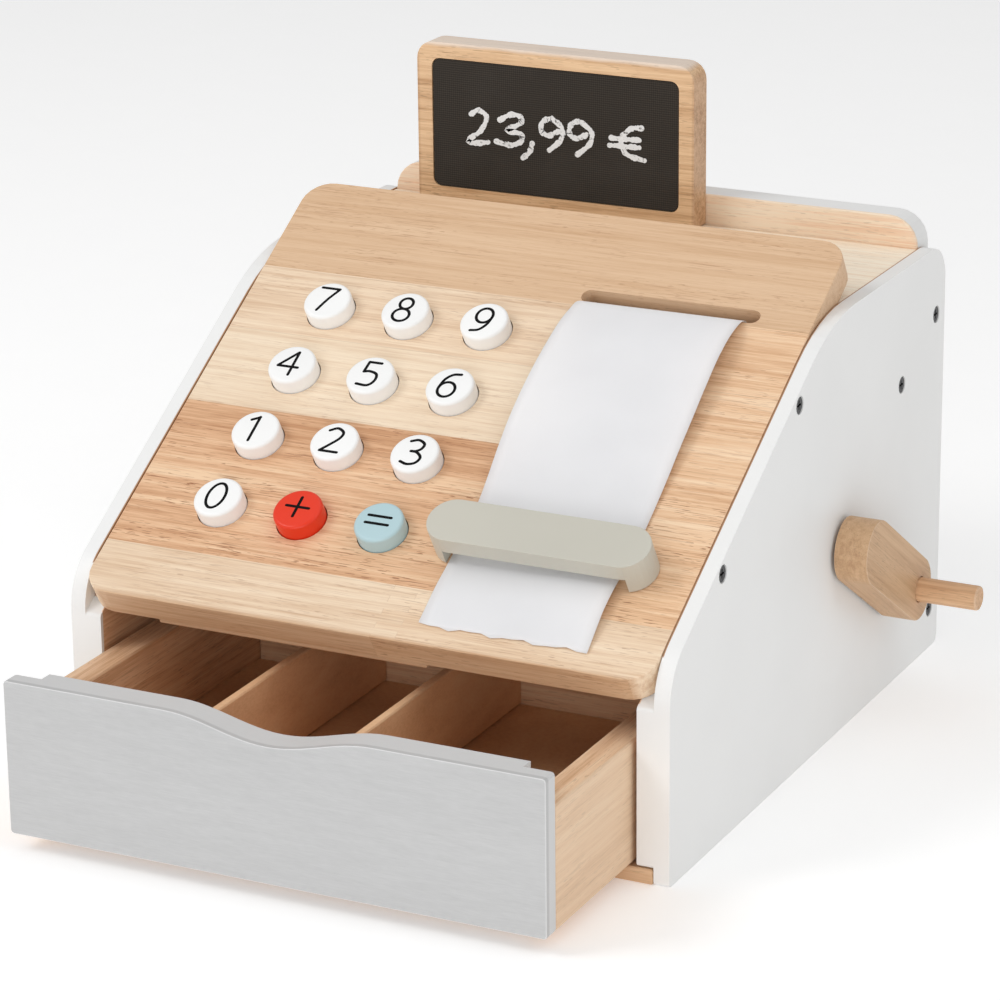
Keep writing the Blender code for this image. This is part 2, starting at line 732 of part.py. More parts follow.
def ring_mesh(name, inner, outer, length, steps):
    """A tube about Z: a closed profile turned all the way round."""
    bm = bmesh.new()
    loop = [bm.verts.new((r, 0, z)) for r, z in ring_profile(inner, outer, length)]
    edges = [bm.edges.new((loop[i], loop[(i + 1) % 4])) for i in range(4)]
    bmesh.ops.spin(
        bm,
        geom=loop + edges,
        axis=(0, 0, 1),
        cent=(0, 0, 0),
        steps=steps,
        angle=2 * math.pi,
        use_merge=True,
    )
    bmesh.ops.remove_doubles(bm, verts=bm.verts, dist=0.01 * MM)
    return finish_mesh(name, bm)


def make_roll():
    """The paper roll on its core, on a dowel held by two open brackets on the inner rail."""
    across = Matrix.Rotation(math.pi / 2, 4, "Y")
    core = ring_mesh("roll_core", ROLL_BORE_RADIUS, ROLL_CORE_RADIUS - GAP, PAPER_WIDTH, 28)
    roll = ring_mesh("paper_roll", ROLL_CORE_RADIUS, ROLL_RADIUS, PAPER_WIDTH, 40)
    for name, mesh, material in (("roll_core", core, CARD), ("paper_roll", roll, PAPER)):
        made = link_part(name, placed(mesh, across), material)
        made.location = (PAPER_X, ROLL_Y, ROLL_Z)
        smooth_shade(made)

    inner = PAPER_WIDTH / 2 + 2.5 * MM
    outer = inner + BRACKET_THICKNESS
    dowel = cylinder_mesh(
        "roll_dowel",
        ROLL_DOWEL_RADIUS,
        (PAPER_X - outer - 2 * MM, ROLL_Y, ROLL_Z),
        (PAPER_X + outer + 2 * MM, ROLL_Y, ROLL_Z),
        24,
    )
    ease_edges(link_part("roll_dowel", dowel, BEECH), 0.5 * MM, 1)

    notch = ROLL_DOWEL_RADIUS + GAP
    bracket_front = ROLL_Y - 10 * MM
    bracket_rear = RAIL_Y - BOARD / 2 - GAP
    low_arc = [
        Vector((ROLL_Y - notch * math.cos(math.pi * k / 10), ROLL_Z - notch * math.sin(math.pi * k / 10)))
        for k in range(11)
    ]
    outline = [
        *rounded(
            (
                (bracket_rear, BRACKET_HIGH_Z, 0),
                (bracket_rear, BRACKET_LOW_Z, 0),
                (bracket_front, BRACKET_LOW_Z, 4 * MM),
                (bracket_front, BRACKET_HIGH_Z, 0),
            )
        ),
        Vector((ROLL_Y - notch, BRACKET_HIGH_Z)),
        *low_arc,
        Vector((ROLL_Y + notch, BRACKET_HIGH_Z)),
    ]
    for side, label in ((-1, "left"), (1, "right")):
        low, high = sorted((PAPER_X + side * inner, PAPER_X + side * outer))
        mesh = yz_plate(label + "_roll_bracket", outline, low, high)
        link_part(label + "_roll_bracket", mesh, WOOD)


# --- the sign ---------------------------------------------------------------------------------------------
def make_sign():
    """A board standing on the shelf against the back panel, with a slate let into its face."""
    low_z = SHELF_TOP_Z + GAP
    rear_y = BACK_FRONT_Y - GAP
    front_y = rear_y - SIGN_THICKNESS
    half = SIGN_WIDTH / 2
    outline = rounded(
        (
            (SIGN_X - half, low_z, 0.6 * MM),
            (SIGN_X + half, low_z, 0.6 * MM),
            (SIGN_X + half, low_z + SIGN_HEIGHT, SIGN_CORNER),
            (SIGN_X - half, low_z + SIGN_HEIGHT, SIGN_CORNER),
        )
    )
    board = link_part("sign_board", xz_plate("sign_board", outline, front_y, rear_y), WOOD)
    ease_edges(board, 0.6 * MM)

    def slate_outline(margin):
        radius = SLATE_CORNER - margin
        low_x = SIGN_X - half + SIGN_FRAME + margin
        high_x = SIGN_X + half - SIGN_FRAME - margin
        low = low_z + SIGN_FRAME + margin
        high = low_z + SIGN_HEIGHT - SIGN_FRAME - margin
        return rounded(
            ((low_x, low, radius), (high_x, low, radius), (high_x, high, radius), (low_x, high, radius))
        )

    depth = SLATE_THICKNESS + 2 * GAP
    recess = xz_plate("slate_recess", slate_outline(0), front_y - 2 * MM, front_y + depth)
    cut(board, add_cutter("slate_recess", recess))
    slate_rear = front_y + depth - GAP
    slate = xz_plate("chalk_slate", slate_outline(GAP), slate_rear - SLATE_THICKNESS, slate_rear)
    link_part("chalk_slate", slate, SLATE)


# --- the drawer -------------------------------------------------------------------------------------------
def plate_outline():
    """The drawer front, as (x, z), with a shallow wave in its top edge for the fingers."""
    half = DRAWER_HALF_WIDTH
    steps = 24
    wave = []
    for k in range(steps + 1):
        share = k / steps
        dip = FINGER_WAVE_DEPTH * (1 - math.cos(2 * math.pi * share)) / 2
        wave.append(Vector((FINGER_WAVE_WIDTH * (0.5 - share), PLATE_TOP_Z - dip)))
    corners = rounded(
        (
            (-half, PLATE_TOP_Z, 1 * MM),
            (-half, DRAWER_BOTTOM_Z - 0.1 * MM, 1 * MM),
            (half, DRAWER_BOTTOM_Z - 0.1 * MM, 1 * MM),
            (half, PLATE_TOP_Z, 1 * MM),
        ),
        step=math.radians(45),
    )
    return corners + wave


def make_drawer():
    front = xz_plate("drawer_front", plate_outline(), PLATE_FRONT_Y, PLATE_REAR_Y)
    plate = ease_edges(link_part("drawer_front", front, GREY_STAIN), FRONT_EASE, 3)
    rebate_y = PLATE_REAR_Y - PLATE_REBATE
    for side, label in ((-1, "left"), (1, "right")):
        low, high = sorted((side * (DRAWER_INNER - GAP), side * (DRAWER_HALF_WIDTH + 2 * MM)))
        rebate = box_mesh(label + "_rebate", (low, rebate_y, 0), (high, PLATE_REAR_Y + MM, PLATE_TOP_Z + MM))
        cut(plate, add_cutter(label + "_rebate", rebate))

        low, high = sorted((side * DRAWER_INNER, side * DRAWER_HALF_WIDTH))
        wall = box_mesh(
            f"drawer_{label}_wall",
            (low, rebate_y + GAP, DRAWER_BOTTOM_Z),
            (high, DRAWER_REAR_Y, DRAWER_WALL_TOP_Z),
        )
        ease_edges(link_part(f"drawer_{label}_wall", wall, WOOD), 0.5 * MM, 1)

    inner = DRAWER_INNER - GAP
    back_front_y = DRAWER_REAR_Y - DRAWER_WALL
    back = box_mesh(
        "drawer_back", (-inner, back_front_y, DRAWER_BOTTOM_Z), (inner, DRAWER_REAR_Y, DRAWER_BACK_TOP_Z)
    )
    ease_edges(link_part("drawer_back", back, WOOD), 0.5 * MM, 1)
    floor_front = PLATE_REAR_Y + GAP
    floor_rear = back_front_y - GAP
    floor = box_mesh(
        "drawer_floor",
        (-inner, floor_front, DRAWER_BOTTOM_Z + GAP),
        (inner, floor_rear, FLOOR_TOP_Z),
    )
    link_part("drawer_floor", floor, WOOD)
    for x, label in zip(DIVIDER_X, ("left", "right")):
        divider = box_mesh(
            f"drawer_{label}_divider",
            (x - DIVIDER_THICKNESS / 2, floor_front, FLOOR_TOP_Z + GAP),
            (x + DIVIDER_THICKNESS / 2, floor_rear, DRAWER_WALL_TOP_Z),
        )
        ease_edges(link_part(f"drawer_{label}_divider", divider, WOOD), 0.4 * MM, 1)


# --- the crank --------------------------------------------------------------------------------------------
def crank_piece(name, mesh, material, axis):
    """A piece of the crank, modelled with the shaft's axis along X through its own origin."""
    made = link_part(name, mesh, material, axis)
    smooth_shade(made)
    return made


def make_crank(crank_hole):
    axis = add_empty("crank_axis", Matrix.Translation((0, CRANK_Y, CRANK_Z)))
    lean = Matrix.Rotation(ARM_ANGLE, 4, "X")
    grip_y = ARM_LENGTH * math.cos(ARM_ANGLE)
    grip_z = ARM_LENGTH * math.sin(ARM_ANGLE)
    socket = 5 * MM

    outline = taper(ARM_LENGTH, ARM_RADIUS + 0.1 * MM, ARM_RADIUS - 0.1 * MM, 16)
    arm_mesh = placed(yz_plate("crank_arm", outline, ARM_INNER_X, ARM_OUTER_X), lean)
    arm = ease_edges(crank_piece("crank_arm", arm_mesh, BEECH, axis), 0.9 * MM)
    shaft_end = ARM_INNER_X + socket
    shaft_socket = cylinder_mesh(
        "shaft_socket", DOWEL_RADIUS + GAP, (ARM_INNER_X - MM, 0, 0), (shaft_end + GAP, 0, 0)
    )
    grip_start = ARM_OUTER_X - socket
    grip_socket = cylinder_mesh(
        "grip_socket",
        DOWEL_RADIUS + GAP,
        (grip_start - GAP, grip_y, grip_z),
        (ARM_OUTER_X + MM, grip_y, grip_z),
    )
    cut(arm, add_cutter("shaft_socket", shaft_socket, axis))
    cut(arm, add_cutter("grip_socket", grip_socket, axis))

    grip = cylinder_mesh(
        "crank_grip", DOWEL_RADIUS, (grip_start, grip_y, grip_z), (ARM_OUTER_X + GRIP_REACH, grip_y, grip_z)
    )
    ease_edges(crank_piece("crank_grip", grip, BEECH, axis), 0.6 * MM)
    shaft = cylinder_mesh("crank_shaft", DOWEL_RADIUS, (SHAFT_INNER_X, 0, 0), (shaft_end, 0, 0))
    ease_edges(crank_piece("crank_shaft", shaft, BEECH, axis), 0.5 * MM, 1)

    pusher_outline = taper(PUSHER_REACH - PUSHER_TIP, PUSHER_HUB, PUSHER_TIP)
    pusher_mesh = yz_plate("drawer_pusher", pusher_outline, PUSHER_X, PUSHER_X + BOARD)
    pusher = crank_piece("drawer_pusher", pusher_mesh, BEECH, axis)
    bore = cylinder_mesh(
        "pusher_bore", DOWEL_RADIUS + GAP, (PUSHER_X - MM, 0, 0), (PUSHER_X + BOARD + MM, 0, 0)
    )
    cut(pusher, add_cutter("pusher_bore", bore, axis))

    washer = placed(
        ring_mesh("crank_washer", DOWEL_RADIUS + GAP, 7 * MM, 0.6 * MM, 28),
        Matrix.Translation((CASE_WIDTH / 2 + ARM_GAP / 2, 0, 0)) @ Matrix.Rotation(math.pi / 2, 4, "Y"),
    )
    crank_piece("crank_washer", washer, DARK_STEEL, axis)

    width, depth, height = BLOCK_SIZE
    block_mesh = box_mesh(
        "crank_bearing_block",
        (LEDGE_X - GAP - width, CRANK_Y - depth / 2, BLOCK_LOW_Z),
        (LEDGE_X - GAP, CRANK_Y + depth / 2, BLOCK_LOW_Z + height),
    )
    block = ease_edges(link_part("crank_bearing_block", block_mesh, WOOD), 0.4 * MM, 1)
    cut(block, crank_hole)


# --- screws -----------------------------------------------------------------------------------------------
def screw_mesh():
    """A countersunk screw with a cross recess, its head's face at z = 0, pointing down."""
    profile = [
        (0, 0),
        (SCREW_HEAD_RADIUS, 0),
        (SCREW_HEAD_RADIUS, -0.4 * MM),
        (SCREW_SHANK_RADIUS, -2.2 * MM),
        (SCREW_SHANK_RADIUS, -SCREW_LENGTH + 3 * MM),
        (0, -SCREW_LENGTH),
    ]
    blank = bpy.data.objects.new("screw_blank", turned_mesh("screw_blank", profile, steps=16))
    CUTTERS.objects.link(blank)
    arm, blade, deep = 1.5 * MM, 0.35 * MM, 0.9 * MM
    for name, x, y in (("recess_a", arm, blade), ("recess_b", blade, arm)):
        slot = add_cutter(name, box_mesh(name, (-x, -y, -deep), (x, y, MM)))
        cut(blank, slot)
    evaluated = blank.evaluated_get(bpy.context.evaluated_depsgraph_get())
    mesh = bpy.data.meshes.new_from_object(evaluated)
    mesh.name = "screw"
    for spent in (blank, bpy.data.objects["recess_a"], bpy.data.objects["recess_b"]):
        bpy.data.objects.remove(spent, do_unlink=True)
    return mesh


def make_screws():
    mesh = screw_mesh()
    for side, label in ((-1, "left"), (1, "right")):
        for index, (y, z) in enumerate(SCREW_PLACES):
            screw = link_part(f"{label}_screw_{index + 1}", mesh, DARK_STEEL)
            screw.location = (side * (CASE_WIDTH / 2 - SCREW_SINK), y, z)
            screw.rotation_euler = (0, side * math.pi / 2, 0)


def build():
    holes, crank_hole = make_sides()
    make_case(holes)
    slope_frame = add_empty(
        "slope_frame", Matrix.Translation(PANEL_ORIGIN) @ Matrix.Rotation(SLOPE, 4, "X")
    )
    make_panel(slope_frame, holes)
    make_keys(slope_frame)
    make_key_bed(slope_frame)
    make_paper_bar(slope_frame)
    make_paper()
    make_roll()
    make_sign()
    make_drawer()
    make_crank(crank_hole)
    make_screws()


build()
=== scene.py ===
import json
import math
import random

import bmesh
import bpy
from mathutils import Matrix, Quaternion, Vector


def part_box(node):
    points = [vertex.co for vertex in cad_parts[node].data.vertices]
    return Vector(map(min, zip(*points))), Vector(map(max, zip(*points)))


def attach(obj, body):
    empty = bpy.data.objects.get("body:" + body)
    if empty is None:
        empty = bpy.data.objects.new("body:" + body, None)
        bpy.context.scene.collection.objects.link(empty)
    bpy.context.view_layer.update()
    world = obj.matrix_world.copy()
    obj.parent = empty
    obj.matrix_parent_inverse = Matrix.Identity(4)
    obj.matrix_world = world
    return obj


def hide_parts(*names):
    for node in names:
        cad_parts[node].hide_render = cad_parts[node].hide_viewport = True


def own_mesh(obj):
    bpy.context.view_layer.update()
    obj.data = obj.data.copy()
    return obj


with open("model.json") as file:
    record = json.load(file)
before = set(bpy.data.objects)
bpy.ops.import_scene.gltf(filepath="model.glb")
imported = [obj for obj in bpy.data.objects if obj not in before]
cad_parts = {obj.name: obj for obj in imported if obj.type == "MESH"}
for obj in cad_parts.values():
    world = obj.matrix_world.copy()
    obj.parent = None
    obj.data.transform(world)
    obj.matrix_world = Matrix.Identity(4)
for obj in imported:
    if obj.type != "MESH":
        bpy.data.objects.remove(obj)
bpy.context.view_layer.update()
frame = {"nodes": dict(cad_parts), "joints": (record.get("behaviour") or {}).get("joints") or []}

MM = 0.001

# the sloping key panel: from the record's own key axis
PRESS = next(Vector(j["axis"]) for j in frame["joints"] if j["name"] == "key_0_press")
SLOPE = math.atan2(PRESS.y, -PRESS.z)
OUT = Vector((0, -math.sin(SLOPE), math.cos(SLOPE)))


def top_centre(node):
    """The middle of a key's round face, from the box of its outermost points."""
    thing = frame["nodes"][node]
    points = [thing.matrix_world @ v.co for v in thing.data.vertices]
    reach = max(p.dot(OUT) for p in points)
    face = [p for p in points if p.dot(OUT) > reach - 0.02 * MM]
    return Vector((min(p[i] for p in face) + max(p[i] for p in face)) / 2 for i in range(3))


KEY_HEIGHT = 5.2 * MM
KEY_DEPTH = 12.0 * MM  # flange underside below the panel's face
FACE = top_centre("key_0") - OUT * KEY_HEIGHT  # on the panel's face, at the middle of key 0
# x across, y up the slope from the row of key 0, z out of the panel
PANEL_FRAME = Matrix.Translation((0, FACE.y, FACE.z)) @ Matrix.Rotation(SLOPE, 4, "X")


# --- node materials -------------------------------------------------------------------------------
SOCKETS = {
    "specular_ior_level": "Specular IOR Level",
    "metallic": "Metallic",
    "subsurface_weight": "Subsurface Weight",
    "subsurface_scale": "Subsurface Scale",
    "subsurface_radius": "Subsurface Radius",
}


class Shader:
    """A small helper that builds one node material."""

    def __init__(self, name):
        self.material = bpy.data.materials.new(name)
        self.material.use_nodes = True
        self.tree = self.material.node_tree
        self.bsdf = self.tree.nodes["Principled BSDF"]

    def node(self, kind, inputs=None, **settings):
        made = self.tree.nodes.new("ShaderNode" + kind)
        for key, value in settings.items():
            setattr(made, key, value)
        for key, value in (inputs or {}).items():
            self.feed(made.inputs[key], value)
        return made

    def feed(self, socket, value):
        if isinstance(value, bpy.types.NodeSocket):
            self.tree.links.new(value, socket)
        elif isinstance(value, bpy.types.Node):
            self.tree.links.new(value.outputs[0], socket)
        else:
            socket.default_value = value

    def coords(self, scale=(1, 1, 1), shift=(0, 0, 0), turn=(0, 0, 0)):
        """Object coordinates, turned first and then scaled."""
        place = self.node("TexCoord").outputs["Object"]
        if any(turn) or any(shift):
            place = self.node("Mapping", {"Vector": place, "Rotation": turn, "Location": shift})
        return self.node("Mapping", {"Vector": place, "Scale": scale})

    def noise(self, vector, scale=1.0, detail=2.0, rough=0.5, distort=0.0):
        inputs = {"Vector": vector, "Scale": scale, "Detail": detail, "Roughness": rough}
        return self.node("TexNoise", {**inputs, "Distortion": distort}).outputs["Fac"]

    def ramp(self, fac, stops, interpolation="LINEAR"):
        made = self.node("ValToRGB", {"Fac": fac})
        made.color_ramp.interpolation = interpolation
        elements = made.color_ramp.elements
        while len(elements) < len(stops):
            elements.new(0.5)
        for element, (position, colour) in zip(elements, stops):
            element.position = position
            colour = (colour,) * 3 if isinstance(colour, (int, float)) else colour
            element.color = (*colour, 1)
        return made.outputs["Color"]

    def mix(self, fac, a, b, blend="MIX"):
        made = self.node("Mix", data_type="RGBA", blend_type=blend)
        self.feed(made.inputs["Factor"], fac)
        for key, value in (("A", a), ("B", b)):
            socket = next(s for s in made.inputs if s.name == key and s.type == "RGBA")
            self.feed(socket, (*value, 1) if isinstance(value, tuple) else value)
        return next(s for s in made.outputs if s.type == "RGBA")

    def math(self, operation, a, b=0.0, c=0.0, clamp=False):
        made = self.node("Math", operation=operation, use_clamp=clamp)
        for socket, value in zip(made.inputs, (a, b, c)):
            self.feed(socket, value)
        return made.outputs[0]

    def map_range(self, value, low, high, to_low=0.0, to_high=1.0):
        inputs = {"Value": value, "From Min": low, "From Max": high, "To Min": to_low, "To Max": to_high}
        return self.node("MapRange", inputs).outputs["Result"]

    def axis(self, index, turn=(0, 0, 0)):
        split = self.node("SeparateXYZ", {"Vector": self.coords(turn=turn).outputs[0]})
        return split.outputs[index]

    def bump(self, height, strength, distance):
        inputs = {"Height": height, "Strength": strength, "Distance": distance}
        return self.node("Bump", inputs).outputs["Normal"]

    def rim(self, index):
        """1 on the eased edge between a face that looks along this axis and its rim, 0 elsewhere."""
        normal = self.node("TexCoord").outputs["Normal"]
        along = self.math("ABSOLUTE", self.node("SeparateXYZ", {"Vector": normal}).outputs[index])
        squared = self.math("MULTIPLY", along, along)
        across = self.math("SQRT", self.math("SUBTRACT", 1.0, squared, clamp=True))
        return self.map_range(self.math("MULTIPLY", along, across), 0.12, 0.46)

    def finish(self, colour, rough, normal=None, **settings):
        self.feed(self.bsdf.inputs["Base Color"], (*colour, 1) if isinstance(colour, tuple) else colour)
        self.feed(self.bsdf.inputs["Roughness"], rough)
        if normal is not None:
            self.feed(self.bsdf.inputs["Normal"], normal)
        for key, value in settings.items():
            self.bsdf.inputs[SOCKETS[key]].default_value = value
        return self.material


def linear(*rgb):
    """An 8-bit sRGB colour as the linear values that shaders take."""
    return tuple(((c / 255) / 12.92 if c <= 10 else ((c / 255 + 0.055) / 1.055) ** 2.4) for c in rgb)


AXES = {"X": 0, "Y": 1, "Z": 2}


def grain_nodes(shader, place, along):
    """Broad figure, growth lines, fibres and dark pore ticks, all drawn out along one axis."""

    def drawn_out(length, width):
        scale = [1 / (width * MM)] * 3
        scale[AXES[along]] = 1 / (length * MM)
        return shader.node("Mapping", {"Vector": place, "Scale": scale})

    figure = shader.noise(drawn_out(150, 15), 1.0, 3.0, 0.5, 0.8)
    lines = shader.noise(drawn_out(80, 1.7), 1.0, 3.0, 0.6, 0.3)
    fibre = shader.noise(drawn_out(14, 0.4), 1.0, 2.0, 0.6)
    pores = shader.noise(drawn_out(4, 0.3), 1.0, 0.0, 0.5)
    streaks = shader.noise(drawn_out(15, 0.42), 1.0, 1.0, 0.5, 0.3)
    tone = shader.math("MULTIPLY_ADD", figure, 0.8, shader.math("MULTIPLY", lines, 1.1))
    tone = shader.math("MULTIPLY_ADD", fibre, 0.6, tone)
    tone = shader.math("SUBTRACT", tone, 0.75)  # back to about a half
    where = shader.map_range(shader.noise(drawn_out(30, 6), 1.0, 1.0, 0.5), 0.42, 0.6, 0.25, 1.0)
    tick = shader.math("MULTIPLY", shader.map_range(streaks, 0.61, 0.68), 0.8)
    tick = shader.math("MAXIMUM", shader.map_range(pores, 0.69, 0.74), tick)
    tick = shader.math("MULTIPLY", tick, where)
    height = shader.math("SUBTRACT", shader.math("MULTIPLY", fibre, 0.35), tick)
    return tone, tick, height


def toned(shader, tone, shades):
    """The three shades of a wood laid over its grain."""
    return shader.ramp(tone, ((0.2, shades[0]), (0.5, shades[1]), (0.8, shades[2])))


def wood_nodes(shader, shades, grain="X", turn=(0, 0, 0), shift=(0, 0, 0), ticks=0.35):
    """Colour and bump height of bare oiled wood whose grain runs along one axis."""
    tone, tick, height = grain_nodes(shader, shader.coords((1, 1, 1), shift, turn).outputs[0], grain)
    colour = toned(shader, tone, shades)
    dark = tuple(c * 0.5 for c in shades[2])
    return shader.mix(shader.math("MULTIPLY", tick, ticks), colour, dark), height


def wood(name, shades, **settings):
    shader = Shader(name)
    colour, height = wood_nodes(shader, shades, **settings)
    normal = shader.bump(height, 0.2, 0.08 * MM)
    rough = shader.map_range(height, -1, 0.4, 0.62, 0.5)
    return shader.finish(colour, rough, normal, specular_ior_level=0.35)


def sign_material():
    """The sign's frame: oiled wood, with a painted highlight along its top and eased edges and painted shade
    on its end faces.
    """
    shader = Shader("sign_wood")
    colour, height = wood_nodes(shader, SIGN_WOOD, shift=(0.7, 0.4, 0.9), ticks=0.5)
    low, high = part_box("sign_board")
    top = high[2]
    outward = shader.math("ABSOLUTE", shader.math("SUBTRACT", shader.axis(0), (low[0] + high[0]) / 2))
    half = (high[0] - low[0]) / 2
    # the end faces drawn darker: partly end grain, partly painted shade
    end_grain_and_shade = shader.map_range(outward, half - 1.0 * MM, half - 0.4 * MM)
    colour = shader.mix(end_grain_and_shade, colour, (0.84, 0.8, 0.8), "MULTIPLY")
    # painted highlight: the top and the eased edges of the front and back drawn pale
    cloud = shader.noise(shader.coords((60, 60, 60)), 1.0, 3.0, 0.6)
    reach = shader.math("MULTIPLY_ADD", cloud, 1.2 * MM, shader.axis(2))
    painted_highlight = shader.map_range(reach, top - 0.9 * MM, top + 0.3 * MM, 0.0, 0.65)
    painted_highlight = shader.math("MAXIMUM", painted_highlight, shader.math("MULTIPLY", shader.rim(1), 0.45))
    colour = shader.mix(painted_highlight, colour, linear(240, 231, 222))
    return shader.finish(colour, 0.45, shader.bump(height, 0.2, 0.08 * MM), specular_ior_level=0.4)


def plywood(name, shades):
    """Fine-sanded thin board: nearly plain, with a soft fleck and faint level bands."""
    shader = Shader(name)
    cloud = shader.noise(shader.coords((30, 30, 90)), 1.0, 3.0, 0.55, 0.4)
    fleck = shader.noise(shader.coords((700, 700, 1500)), 1.0, 2.0, 0.6)
    tone = shader.math("MULTIPLY_ADD", cloud, 0.7, shader.math("MULTIPLY", fleck, 0.4))
    colour = toned(shader, shader.math("SUBTRACT", tone, 0.05), shades)
    return shader.finish(colour, 0.6, shader.bump(fleck, 0.15, 0.06 * MM), specular_ior_level=0.3)


PALE = (linear(249, 230, 204), linear(240, 217, 189), linear(226, 196, 164))
TAN = (linear(229, 195, 160), linear(222, 186, 150), linear(212, 173, 135))
WARM = (linear(243, 208, 171), linear(228, 183, 144), linear(200, 149, 109))
STRIP = (linear(249, 219, 185), linear(237, 197, 158), linear(215, 168, 127))
BEECH = (linear(236, 196, 156), linear(222, 180, 140), linear(200, 156, 117))
# the arm's beech: darker and greyer than the rest, partly its own tone and partly painted shade on its faces
ARM_BEECH_AND_SHADE = (linear(214, 178, 140), linear(203, 165, 127), linear(188, 148, 111))
SIGN_WOOD = (linear(239, 203, 162), linear(223, 184, 143), linear(192, 148, 106))
# shelf and back panel wood: lit copies drawn near white, painted light for the shade they lie in behind the
# sign
SHELF_LIT = (linear(255, 246, 228), linear(253, 238, 216), linear(240, 215, 186))
BACK_LIT = (linear(255, 239, 216), linear(255, 232, 206), linear(245, 207, 174))
WALL = (linear(246, 214, 180), linear(234, 194, 157), linear(208, 162, 122))
DIVIDER = (linear(248, 210, 170), linear(238, 192, 150), linear(216, 166, 123))
FLOOR_PLY = (linear(240, 203, 161), linear(227, 181, 138), linear(203, 153, 112))
WHITE = linear(240, 240, 239)
SAGE = linear(200, 197, 185)


def paint(name, colour, rough=0.5, mottle=0.03, peel=0.12, scale=1.0):
    """Sprayed paint: slight mottling, fine orange peel and a little unevenness of gloss."""
    shader = Shader(name)
    cloud = shader.noise(shader.coords((18 * scale,) * 3), 1.0, 3.0, 0.5)
    speck = shader.noise(shader.coords((900 * scale,) * 3), 1.0, 2.0, 0.6)
    factor = shader.map_range(cloud, 0.3, 0.7)
    low = tuple(max(0, c * (1 - mottle)) for c in colour)
    high = tuple(min(1, c * (1 + mottle)) for c in colour)
    base = shader.mix(factor, low, high)
    grain = shader.noise(shader.coords((420 * scale,) * 3), 1.0, 2.0, 0.5)
    normal = shader.bump(grain, peel, 0.12 * MM)
    gloss = shader.map_range(speck, 0.2, 0.8, rough - 0.05, rough + 0.06)
    return shader.finish(base, gloss, normal, specular_ior_level=0.4)


PAINT_EDGE = 1.3 * MM  # how far behind the back panel's face its white paint begins


def back_material():
    """The back panel: bare wood on its front face, white paint from just behind that."""
    shader = Shader("back_wood")
    # the bare wood is a lit copy: painted light for the shade behind the sign
    bare, height = wood_nodes(shader, BACK_LIT)
    cloud = shader.noise(shader.coords((18,) * 3), 1.0, 3.0, 0.5)
    coat = shader.mix(cloud, tuple(c * 0.97 for c in WHITE), tuple(min(1, c * 1.03) for c in WHITE))
    wobble = shader.math("MULTIPLY", shader.noise(shader.coords((160,) * 3), 1.0, 2.0, 0.5), 0.4 * MM)
    place = shader.math("ADD", shader.axis(1), wobble)
    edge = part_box("back_panel")[0][1] + PAINT_EDGE
    mask = shader.map_range(place, edge - 0.15 * MM, edge + 0.15 * MM)
    normal = shader.bump(height, 0.15, 0.1 * MM)
    return shader.finish(shader.mix(mask, bare, coat), 0.52, normal, specular_ior_level=0.4)


def stepped(shader, where, values):
    """A value for each board, from low to high up the slope."""
    stops = [(start, value) for start, value in zip(BOARD_STARTS, values)]
    return shader.ramp(where, stops, "CONSTANT")


PANEL_FRONT = -38.5 * MM  # the panel's lower end, up the slope from key 0's row
PANEL_LOW, PANEL_SPAN = -45, 200  # mm up the slope
SEAMS = (-19, 40, 72, 99)  # mm up the slope
FINGER_WIDTH = 2.5 * MM
FINGER_LENGTH = 8 * MM
BOARD_STARTS = (0.0, *((seam - PANEL_LOW) / PANEL_SPAN for seam in SEAMS))


